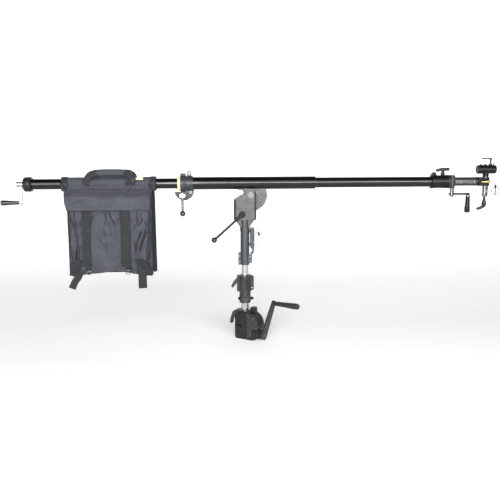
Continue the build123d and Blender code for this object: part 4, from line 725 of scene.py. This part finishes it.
# Outline knots of the bag in mm: (down below the boom's axis, value). "left" is towards the crank.
FLAP_LEFT = ((-4, -199), (10, -190), (60, -178), (110, -170))
FLAP_RIGHT = ((-4, 186), (10, 184), (60, 182), (110, 181))
FLAP_DROP, FLAP_OUT_MOST = 104.0, 93.6
FLAP_LINE = ((25, 2), (26, 12), (33, 24), (56, 33), (78, 44), (88, 60), (90, 80), (90, FLAP_DROP))
FLAP_FOLDS = (  # from, to, width, depth
    ((-172, 47), (-60, 42), 6, 7.5), ((96, 6), (62, 44), 8, 5.5), ((28, 58), (-12, 92), 8, 4.5),
    ((-124, 22), (6, 32), 9, 6.6), ((172, 18), (120, 60), 10, 5.4), ((-150, 84), (-96, 70), 8, 4.5),
)
HEM_UP, STITCHES_UP = 14.5, 12.0
PANEL_DOWNS = (0, 70, 420)
PANELS = (  # name, side, out at the foot, drop, left and right edge at each of PANEL_DOWNS, seed
    ("panel_front", -1, 30.0, 364.0, (-186, -176, -174), (184, 182, 180), 4.7),
    ("panel_rear", 1, 30.0, 398.0, (-192, -194, -196), (186, 187, 188), 11.3),
    ("panel_outer", 1, 61.0, 401.0, (-193, -196, -199), (188, 189, 190), 13.3),
)
FRONT_LEFT = ((90, -160), (118, -157), (150, -142), (205, -127), (260, -128), (310, -135),
              (345, -138), (372, -148))
FRONT_RIGHT = ((90, 180), (127, 177), (172, 160), (230, 156), (285, 157), (330, 164), (372, 172))
FRONT_OUT = ((90, 76), (130, 83), (200, 86), (280, 86), (330, 80), (372, 62))
POUCH_TOP, POUCH_DROP, POUCH_BACK = 92.0, 372.0, 40.0
STRAPS = ((-89, -97), (75, 69))
POUCH_FOLDS = (  # from, to, width, depth, on the face of a pouch
    ((-62, 122), (-124, 176), 9, 5.0), ((178, 128), (104, 190), 10, 9.0),
    ((148, 172), (112, 300), 9, 8.0), ((160, 296), (118, 350), 8, 6.0),
    ((-146, 140), (-124, 236), 8, 5.5), ((-126, 240), (-142, 330), 8, 6.0),
    ((-20, 172), (60, 156), 8, 4.0), ((-60, 208), (55, 213), 5, 4.0),
    ((-66, 252), (40, 246), 5, 3.2), ((-30, 296), (64, 287), 6, 3.6),
    ((8, 118), (44, 168), 9, 4.4), ((-52, 330), (30, 338), 6, 3.0),
)
STRAP_WIDE, STRAP_TOP, STRAP_END = (35.0, 42.0), 100.0, 360.0


def folds(x, down, table):
    return sum(crease(x, down, *fold) for fold in table)


def panel(name, side, out, drop, left_edge, right_edge, seed):
    """Panel of the bag that lies against the tube's side and carries a pouch."""
    def surface(u, v):
        down = 6 + (drop - 6) * v
        left, right = (through(list(zip(PANEL_DOWNS, edge)), down)
                       for edge in (left_edge, right_edge))
        x = left + (right - left) * u
        lean = 27.5 + (out - 27.5) * smoothstep(0, 60, down)
        edge = max(abs(2 * u - 1) - 0.75, 0) * 4
        wave = ripple(x * MM, down * MM, seed, 3.4) * (0.4 + edge) * min(1, v * 6)
        wave += 1.6 * crumple(x * MM, down * MM, seed) * min(1, v * 6)
        curl = 5.0 * edge * edge * noise.noise(Vector((u * 2, v * 3.1, seed + 9)))
        return at(x, lean + wave + curl, down, side)
    piece = make_sheet(name, surface, 66, 70, "bag_fabric", 2.2)


def pouch(name, side, seed):
    """Pouch with folded gussets, cut large so that it buckles, open under the flap."""
    rows, back, last = 54, 172.0, 0.93
    points, held = [], []
    for row in range(rows):
        v = row / (rows - 1)
        down = POUCH_TOP + (POUCH_DROP - POUCH_TOP) * v
        left, right, out = (through(knots, down) for knots in (FRONT_LEFT, FRONT_RIGHT, FRONT_OUT))
        tuck = 32 * math.sin(math.pi * min(1, v * 1.15)) + 4
        lobes = [(-back, 33), (-back + 6, 44), (left + tuck, 55), (left - 3, 68), (left, out - 3),
                 (left + 8, out), (right - 8, out), (right, out - 3), (right + 3, 68),
                 (right - tuck, 55), (back + 6, 44), (back + 8, 33)]
        counts = (3, 7, 7, 4, 2, 56, 2, 4, 7, 7, 3, 60)
        closing = smoothstep(last, 1.0, v)
        outline = []
        for (a, b), count in zip(zip(lobes, [*lobes[1:], lobes[0]]), counts):
            outline += [tuple(p + (q - p) * step / count for p, q in zip(a, b))
                        for step in range(count)]
        for _ in range(2):
            outline = [tuple(0.25 * p + 0.5 * q + 0.25 * r for p, q, r in zip(*three))
                       for three in zip([outline[-1], *outline], outline,
                                        [*outline[1:], outline[0]])]
        for x, depth in outline:
            sag = closing * (24 * abs(x / 175) ** 3 - 9 * math.exp(-((x - 25) / 55) ** 2))
            if depth > POUCH_BACK:
                fold = ripple(x * MM, down * MM, seed, 10.0) + 1.5 * folds(x, down, POUCH_FOLDS)
                depth += fold * (1 - closing)
            depth += (50 - depth) * 0.9 * closing
            if depth <= POUCH_BACK or row < 2:
                held.append(len(points))
            points.append(at(x, depth, down + sag, side))
    piece = new_piece(name, points, grid_faces(rows, len(outline), True), "bag_fabric", "bag")
    settle(piece, held, 18, 0.8, 0.06, 13 * MM)
    modify(piece, "SUBSURF", levels=1, render_levels=1)
    tidy_normals(flatten(piece))
    normals = [vertex.normal.copy() for vertex in piece.data.vertices]
    for vertex, normal in zip(piece.data.vertices, normals):
        place = vertex.co.copy()
        loose = smoothstep(POUCH_BACK - 2, POUCH_BACK + 12, abs(place.y) / MM)
        loose *= smoothstep(POUCH_TOP + 4, POUCH_TOP + 20, (BOOM_Z - place.z) / MM)
        lift = crumple(place.x + 0.6 * place.y, place.z, seed) - 0.35
        vertex.co = place + normal * (3.0 * MM * lift * loose)
    thicken(piece, 1.6)
    return piece


def flap(name, side, skin, seed):
    """Lid of a pouch, sewn along the sleeve, with a turned hem at its lower edge."""
    line = spaced(rounded([Vector((o, d, 0)) for o, d in FLAP_LINE], 3), 1.0)

    def surface(u, v):
        place = line[min(len(line) - 1, int(v * (len(line) - 1) + 0.5))]
        out, down = place.x, place.y
        left, right = through(FLAP_LEFT, down), through(FLAP_RIGHT, down)
        x = left + (right - left) * u
        wave = ripple(x * MM, down * MM, seed, 6.5) + 2.2 * crumple(x * MM, down * MM, seed)
        wave = wave * smoothstep(0.1, 0.4, v) + folds(x, down, FLAP_FOLDS)
        hem = 0.9 * smoothstep(FLAP_DROP - 15, FLAP_DROP - 13, down)
        seam = -0.9 * math.exp(-((down - (FLAP_DROP - HEM_UP)) / 1.1) ** 2)
        out += wave + hem + seam
        if down > POUCH_TOP - 8:
            out = max(out, skin.out(x, down + 4, 0) + 2.4)
        out = min(out, FLAP_OUT_MOST)
        sway = 2.4 * noise.noise(Vector((u * 3.0, seed, 0.3))) * smoothstep(0.5, 1, v)
        return at(x, out, down + sway, side)
    piece = make_sheet(name, surface, 90, 74, "bag_fabric", 2.4)
    return piece


def strap(name, side, skin, tops, wide):
    """Ladder webbing down the pouch."""
    points, drop = [], STRAP_TOP
    while drop <= STRAP_END:
        centre = tops[0] + (tops[1] - tops[0]) * (drop - STRAP_TOP) / (STRAP_END - STRAP_TOP)
        spread = [skin.out(centre + shift, drop, 80) for shift in (-18, -9, 0, 9, 18)]
        points.append(at(centre, max(spread) + 1.6, drop, side))
        drop += 9
    for _ in range(2):
        points = [points[0], *(a.lerp(c, 0.5).lerp(b, 0.5) for a, b, c in
                               zip(points, points[1:], points[2:])), points[-1]]
    webbing(name, points, wide, X, ridge=1.1, finish="ladder")


def strap_end(name, side, x, skin):
    """Narrow loop that holds the ring at the foot of a strap."""
    top = skin.out(x, STRAP_END - 8, 78)
    line = [at(x, out, STRAP_END + below, side)
            for out, below in ((top + 3.2, -24), (top + 4.0, -4), (83.6, 3), (80.3, 7), (76.5, 3),
                               (74, -6), (70, -16))]
    webbing(name, line, 19.0, X, 1.6, 6.0, 0.4)


def corner(name, side, head, foot, seed):
    """Gusset cloth pressed flat into an ear at a lower corner of the pouch."""
    def surface(u, v):
        upper, lower = (edge[0] + (edge[1] - edge[0]) * u for edge in (head, foot))
        x = upper * (1 - v) + lower * v
        down = head[2] + (foot[2] - head[2]) * v + 5 * v * math.sin(math.pi * u)
        out = 82 - 17 * smoothstep(0.1, 1.0, v) + 6 * math.sin(math.pi * u) * (1 - 0.4 * v)
        out += 2.6 * noise.noise(Vector((u * 2.6, v * 2.2, seed))) + 1.2 * math.sin(9 * u + 3 * v)
        return at(x, out, down, side)
    piece = make_sheet(name, surface, 22, 30, "binding", 2.6)


def tail(name, side, points, width, tilt):
    """Loose end of a cinch strap, hanging from its ear."""
    line = bag_line(points, side)
    piece = webbing(name, line, width, Vector((1, 0.12, tilt)), 1.7, 6.5, 0.5)


def sleeve():
    """Cloth tube round the boom, slightly slack on top, with bound ends and two cinch loops."""
    rows, count, radius_in, radius_cinch = 84, 56, 26.2, 30.4
    half = (SLEEVE_HIGH.x - SLEEVE_LOW.x) / 2 / MM
    points = []
    for row in range(rows):
        x = -half + 2 * half * row / (rows - 1)
        for step in range(count):
            turn = 2 * math.pi * step / count
            up = math.sin(turn)
            radius = radius_in + 2.6 * max(0, up) ** 2
            radius += 1.6 * noise.noise(Vector((x * 0.02, math.cos(turn) * 1.3, up * 1.3)))
            radius += 1.1 * math.exp(-((abs(x) - half + 9) / 5) ** 2)
            radius -= 0.8 * math.exp(-((abs(x) - half + 18) / 1.6) ** 2)
            points.append(at(x, radius * math.cos(turn), -radius * up))
    piece = new_piece("bag_sleeve_cloth", points, grid_faces(rows, count, True), "bag_fabric",
                      "bag")
    thicken(piece, 1.8)
    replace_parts(piece, "bag_sleeve")
    for end, sign in (("left", -1), ("right", 1)):
        x = sign * (half - 14)
        turns = [math.radians(a) for a in range(-150, 151, 12)]
        line = [at(x, radius_cinch * math.cos(a), -radius_cinch * math.sin(a)) for a in turns]
        webbing(f"cinch_{end}", line, 25.0, X, 2.2, 6.5, 0.6)
        face = [ring(at(x, 31.2 + step, 2 + 0.3 * step), X * 15 * MM * k, Z * 13 * MM * k, 5, 32)
                for step, k in ((0.0, 0.94), (0.8, 1.0), (3.2, 1.0), (4.0, 0.94))]
        loft(f"ladder_lock_{end}", face, "satin_plastic", "bag", "black_plastic")
        for bar in (-5.5, 0.0, 5.5):
            rail = [ring(at(x + shift, 36.2, 3 + bar), Y * 1.5 * MM, Z * 1.7 * MM, 2, 12)
                    for shift in (-13.5, -12.5, 12.5, 13.5)]
            loft(f"ladder_bar_{end}_{int(bar * 2 + 12)}", rail, "satin_plastic", "bag",
                 "black_plastic")
        tip = [at(x + sign * shift, out, down)
               for shift, out, down in ((2, 34, -8), (3, 37, 6), (2, 35.5, 18), (0, 36.5, 27))]
        webbing(f"cinch_tip_{end}", tip, 19.0, X, 1.6, 5.0, 0.4)


def handle():
    """Webbing handle over the boom with a padded wrap and the seam that closes it, and the tag."""
    legs = (("left", ((-98, 27, 5), (-94, 30, -10), (-88, 30, -26), (-76, 26, -42),
                      (-54, 21, -48))),
            ("right", ((78, 27, 5), (96, 30, -7), (104, 30, -20), (100, 27, -34), (86, 24, -45),
                       (66, 21, -48))))
    for where, side in (("front", -1), ("rear", 1)):
        for end, points in legs:
            line = bag_line(points, side)
            along = (line[-1] - line[0]).normalized()
            webbing(f"handle_leg_{end}_{where}", line, 29.0, along.cross(Y), 2.4, 7.0, 0.5)
    stations, low, high, steps = [], -62.0, 76.0, 44
    for step in range(steps + 1):
        share = step / steps
        x = low + (high - low) * share
        end = min(share, 1 - share)
        round_off = math.sqrt(max(0.0, 1 - (1 - min(1, end / 0.04)) ** 2))
        swell = (0.9 + 0.1 * smoothstep(0, 0.25, end)) * (0.5 + 0.5 * round_off)
        wrinkle = 1 + 0.03 * noise.noise(Vector((x * 0.09, 0, 4.1)))
        size = swell * wrinkle * MM
        stations.append(ring(at(x, 0, -44.6 - math.sin(math.pi * share)), Y * 21.0 * size,
                             Z * 17.8 * size, 3.0, 40))
    wrap = loft("handle_wrap", stations, "bag_fabric", "bag", "bag_fabric")
    for vertex in wrap.data.vertices:
        place = vertex.co
        dent = ripple(place.x, place.z + place.y, 3.3, 1.6 * MM)
        vertex.co += Vector((0, place.y, place.z - BOOM_Z - 45 * MM)).normalized() * dent
    flat = bag_line(((low + 4, 20.6, -36), ((low + high) / 2, 21.4, -37), (high - 4, 20.6, -36)))
    webbing("handle_seam", flat, 6.0, Z, 1.0, 200.0, 0.0, "binding")
    tab = bag_line(((104, 26.6, -24), (126, 26.8, -24), (148, 26.6, -23.5)))
    webbing("plain_tag", tab, 13.0, Vector((0, 0.55, 0.8)), 0.8, 200.0, 0.0, "label")


def stitches(name, places, outward, pitch=4.2):
    """A row of short raised thread stitches along places, standing outward."""
    verts, faces = [], []
    travelled, last = 0.0, places[0]
    for place, along in headings(places)[1:-1]:
        travelled += (place - last).length
        last = place
        if travelled < pitch * MM:
            continue
        travelled = 0.0
        side = along.cross(outward).normalized()
        start = len(verts)
        for share, lift in ((-1.3, 0.0), (-0.8, 0.45), (0.8, 0.45), (1.3, 0.0)):
            for wide in (-0.35, 0.35):
                verts.append(place + along * share * MM + side * wide * MM + outward * lift * MM)
        for row in range(3):
            faces.append(tuple(start + 2 * row + step for step in (0, 1, 3, 2)))
    new_piece(name, verts, faces, "thread", "bag")


def make_bag():
    sleeve()
    handle()
    for given in PANELS:
        panel(*given)
    for where, side, seed in (("front", -1, 1.7), ("rear", 1, 8.3)):
        body = pouch(f"pouch_{where}", side, seed)
        if side < 0:
            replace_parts(body, "bag_pouches")
        skin = Skin(body, side)
        lid = flap(f"flap_{where}", side, skin, seed + 1)
        lid_skin = Skin(lid, side)
        for index, tops in enumerate(STRAPS):
            strap(f"strap_{where}_{index}", side, skin, tops, STRAP_WIDE[index])
            strap_end(f"strap_end_{where}_{index}", side, RINGS[index], skin)
        hem, down, steps = [], FLAP_DROP - STITCHES_UP, 159
        for step in range(steps + 1):
            x = -158 + 336 * step / steps
            hem.append(at(x, lid_skin.out(x, down, 92) + 0.1, down, side))
        stitches(f"hem_stitches_{where}", hem, Y * side)
        corner(f"corner_left_{where}", side, (-148, -116, 320), (-178, -130, 388), seed + 2)
        corner(f"corner_right_{where}", side, (108, 150, 318), (142, 187, 386), seed + 6)
        short = 0 if side < 0 else 44
        tail(f"tail_left_{where}", side,
             ((-126, 66, 356), (-134, 71, 392 - short / 2), (-152, 75, 414 - short),
              (-160, 71, 430 - short), (-167, 73, 446 - short)),
             30.0, -0.32)
        tail(f"tail_right_{where}", side,
             ((137, 70, 350), (138, 75, 384 - short / 2), (137, 73, 420 - short),
              (138, 75, 448 - short)), 36.0, 0.02)


# ---- lanyard ------------------------------------------------------------------------------------
LANYARD = (  # the CAD route, in mm
    (1108, -8, 776), (1108, -8, 787), (1110.5, -9, 797), (1117, -11.5, 802), (1124, -15, 795),
    (1127, -17.5, 781), (1127.5, -19, 761), (1127, -18.5, 738), (1125.5, -14.5, 717),
    (1123, -8, 701), (1123, -8, 685),
)
LANYARD_LENGTH, LANYARD_THICK = 0.1507, 0.0016


def make_lanyard():
    """Twisted wire lanyard from the socket's boss to the safety pin, its length the CAD route's."""
    curve = bpy.data.curves.new("lanyard", "CURVE")
    curve.dimensions = "3D"
    curve.bevel_depth, curve.bevel_resolution, curve.use_fill_caps = LANYARD_THICK / 2, 4, True
    line = curve.splines.new("NURBS")
    line.points.add(len(LANYARD) - 1)
    for point, place in zip(line.points, LANYARD):
        point.co = (*(c * MM for c in place), 1.0)
    line.order_u, line.use_endpoint_u, line.resolution_u = 3, True, 16
    curve.materials.append(FINISH["lanyard_wire"])
    piece = put("lanyard", curve)
    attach(piece, "lamp_head")
    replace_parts(piece, "safety_lanyard")
    for name, spot, down in (("ferrule_top", LANYARD[0], 7.0), ("ferrule_pin", LANYARD[-1], -7.0)):
        foot = Vector(spot) * MM
        rings = [ring(foot + Z * rise * MM, X * r * MM, Y * r * MM, 2, 20)
                 for rise, r in ((0, 1.4), (0.15 * down, 1.9), (0.85 * down, 1.9), (down, 1.4))]
        loft(name, rings, "steel", "lamp_head", "steel")


# ---- moulded levers and knobs, screw heads, small wires -----------------------------------------
def limb(name, stations, axis, finish, body, slot, power=2.4):
    """Smooth bar through stations of (x, y, z, half width along axis, half height), in mm."""
    places = [Vector(station[:3]) * MM for station in stations]
    rings = [ring(place, axis * wide * MM, along.cross(axis).normalized() * tall * MM, power, 16)
             for (*_, wide, tall), (place, along) in zip(stations, headings(places))]
    piece = loft(name, rings, finish, body, slot)
    modify(piece, "SUBSURF", levels=2, render_levels=2)
    return flatten(piece)


def turned(name, foot, axis, profile, finish, body, slot, count=40):
    """Round piece on an axis from a foot, with a profile of (distance along, radius) in mm."""
    wide = axis.orthogonal().normalized()
    tall = axis.cross(wide).normalized()
    rings = [ring(foot + axis * along * MM, wide * radius * MM, tall * radius * MM, 2, count)
             for along, radius in profile]
    return loft(name, rings, finish, body, slot)


def moulded(node, name, stations, foot, axis, profile, stem, finish="satin_plastic",
            slot="black_plastic"):
    """Moulded part that replaces a CAD node: a flat limb across Y and a round stem from foot."""
    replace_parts(limb(name, stations, Y, "satin_plastic", node, "black_plastic"), node)
    turned(stem, foot, axis, profile, finish, node, slot)


def make_moulded_parts():
    low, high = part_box("wing_knob")
    x, top = (low.x + high.x) / 2 / MM, high.z / MM
    wings = ((-30.5, -13.5, 3.0, 3.4), (-29, -13, 5.0, 6.0), (-25, -12, 6.4, 7.2),
             (-17, -9.9, 6.2, 6.4), (-9, -8.4, 6.8, 7.6), (0, -8.0, 7.4, 8.6),
             (9, -7.8, 6.8, 7.4), (17, -7.6, 6.2, 6.6), (24, -7.0, 6.4, 7.2),
             (28.5, -6.8, 5.2, 6.4), (30.5, -6.8, 3.0, 3.4))
    moulded("wing_knob", "wing_knob_wings", [(x + dx, 0, top + dz, w, t) for dx, dz, w, t in wings],
            Vector((x * MM, 0, low.z)), Z,
            ((0, 4.0), (9, 4.0), (9.2, 9.0), (10.5, 9.6), (13, 9.2), (17, 7.0), (22, 6.2),
             (30, 6.4)), "wing_knob_stem")

    low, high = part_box("ratchet_lever")
    x, top = high.x / MM - 10, high.z / MM
    arm = ((2, -40, 8.6, 6.0), (2, -44, 9.6, 9.0), (1, -51, 9.6, 9.4), (-4, -58, 8.2, 7.6),
           (-12, -62.5, 6.4, 6.8), (-21, -66, 5.8, 6.4), (-28, -67.2, 5.8, 6.6),
           (-32, -67.6, 4.4, 5.0), (-33.4, -67.6, 1.8, 2.2))
    moulded("ratchet_lever", "ratchet_arm", [(x + dx, 0, top + dz, w, t) for dx, dz, w, t in arm],
            Vector((x * MM, 0, high.z)), -Z,
            ((0, 5.0), (25, 5.0), (25.5, 6.4), (31, 7.2), (38, 9.6), (46, 9.9), (52, 9.0),
             (55, 5.0)), "ratchet_stem")

    low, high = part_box("collar_latch")
    y, top = (low.y + 2.6 * MM) / MM, high.z / MM
    paddle = ((7, -0.5, 3.0, 2.4), (7, -5, 2.8, 5.6), (7, -14, 2.8, 7.0), (8, -22, 2.6, 4.0),
              (7, -29, 2.8, 5.8), (9, -37, 2.8, 6.2), (11, -43, 2.6, 3.6), (8, -48, 2.2, 2.6))
    moulded("collar_latch", "latch_paddle", [(x, y, top + dz, w, t) for x, dz, w, t in paddle],
            Vector((7 * MM, low.y + 1.0 * MM, high.z - 14 * MM)), Y,
            ((0, 3.4), (0.6, 4.0), (13, 4.0)), "latch_pivot", "steel", "steel")


def screw_head(name, foot, axis, radius, body, finish="steel"):
    """Domed cap screw with a round socket, standing on foot and facing along axis."""
    profile = ((0.5, 1.0), (0.68, 0.9), (0.78, 0.7), (0.8, 0.5), (0.74, 0.46), (0.25, 0.44))
    profile = ((-0.6, radius), *((along * radius, wide * radius) for along, wide in profile))
    turned(name, foot, axis, profile, finish, body, "steel", 32)


def far_end(node, joint):
    """Centre of a node's end, along its joint's axis."""
    place, axis = Vector(joint["pos_m"]), Vector(joint["axis"]).normalized()
    along = [(vertex.co - place).dot(axis) for vertex in NODES[node].data.vertices]
    reach, back = max(along), min(along)
    return (place + axis * reach, axis) if reach > -back else (place + axis * back, -axis)


def make_screw_heads():
    joints = {joint["name"]: joint for joint in frame["joints"]}
    for node, radius in (("winch_grip", 5.0), ("rear_grip", 3.4), ("extension_grip", 4.2)):
        foot, axis = far_end(node, joints[f"{node}_spin"])
        screw_head(f"{node}_screw", foot - axis * 1.2 * MM, axis, radius, node)
    foot = Vector(joints["tilt_lever_turn"]["pos_m"])
    foot.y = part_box("tilt_lever")[0].y + 6.5 * MM
    screw_head("tilt_lever_screw", foot, -Y, 6.6, "tilt_lever", "chrome")


def make_bracket_wires():
    low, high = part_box("bracket_wire")
    edge, foot = high.x / MM, low.z / MM
    limb("wire_cap", [(edge - 12, -6, foot + 16.5, 3.2, 2.4), (edge - 11, -6, foot + 15, 4.4, 4.0),
                      (edge - 7, -6, foot + 7, 4.9, 5.8), (edge - 5.4, -6, foot + 0.5, 4.8, 6.4),
                      (edge - 5, -6, foot - 1, 3.0, 4.4)],
         Y, "rubber_grip", "yoke", "rubber_grip")
    low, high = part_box("sleeve_bracket")
    x, z = high.x / MM, (low.z + high.z) / 2 / MM
    line = spaced(rounded([Vector((x - 4, -9.5, z - 8)) * MM, Vector((x + 3, -11, z - 9)) * MM,
                           Vector((x + 9, -11, z - 16)) * MM, Vector((x + 19, -9, z - 33)) * MM,
                           Vector((x + 22, -9, z - 38)) * MM], 3), 2.0 * MM)
    radius = 0.9 * MM
    rings = [ring(place, Y * radius, along.cross(Y) * radius, 2, 10)
             for place, along in headings(line)]
    loft("clip_wire", rings, "steel", "yoke", "steel")
    turned("clip_eye", Vector(((x - 6) * MM, -7.5 * MM, (z - 8) * MM)), -Y,
           ((0, 5.2), (2.4, 5.2), (3.0, 4.6), (3.2, 2.2), (2.2, 2.0)), "steel", "yoke", "steel")


finish_frame()
make_bag()
make_lanyard()
make_moulded_parts()
make_screw_heads()
make_bracket_wires()
make_camera()
make_stage()
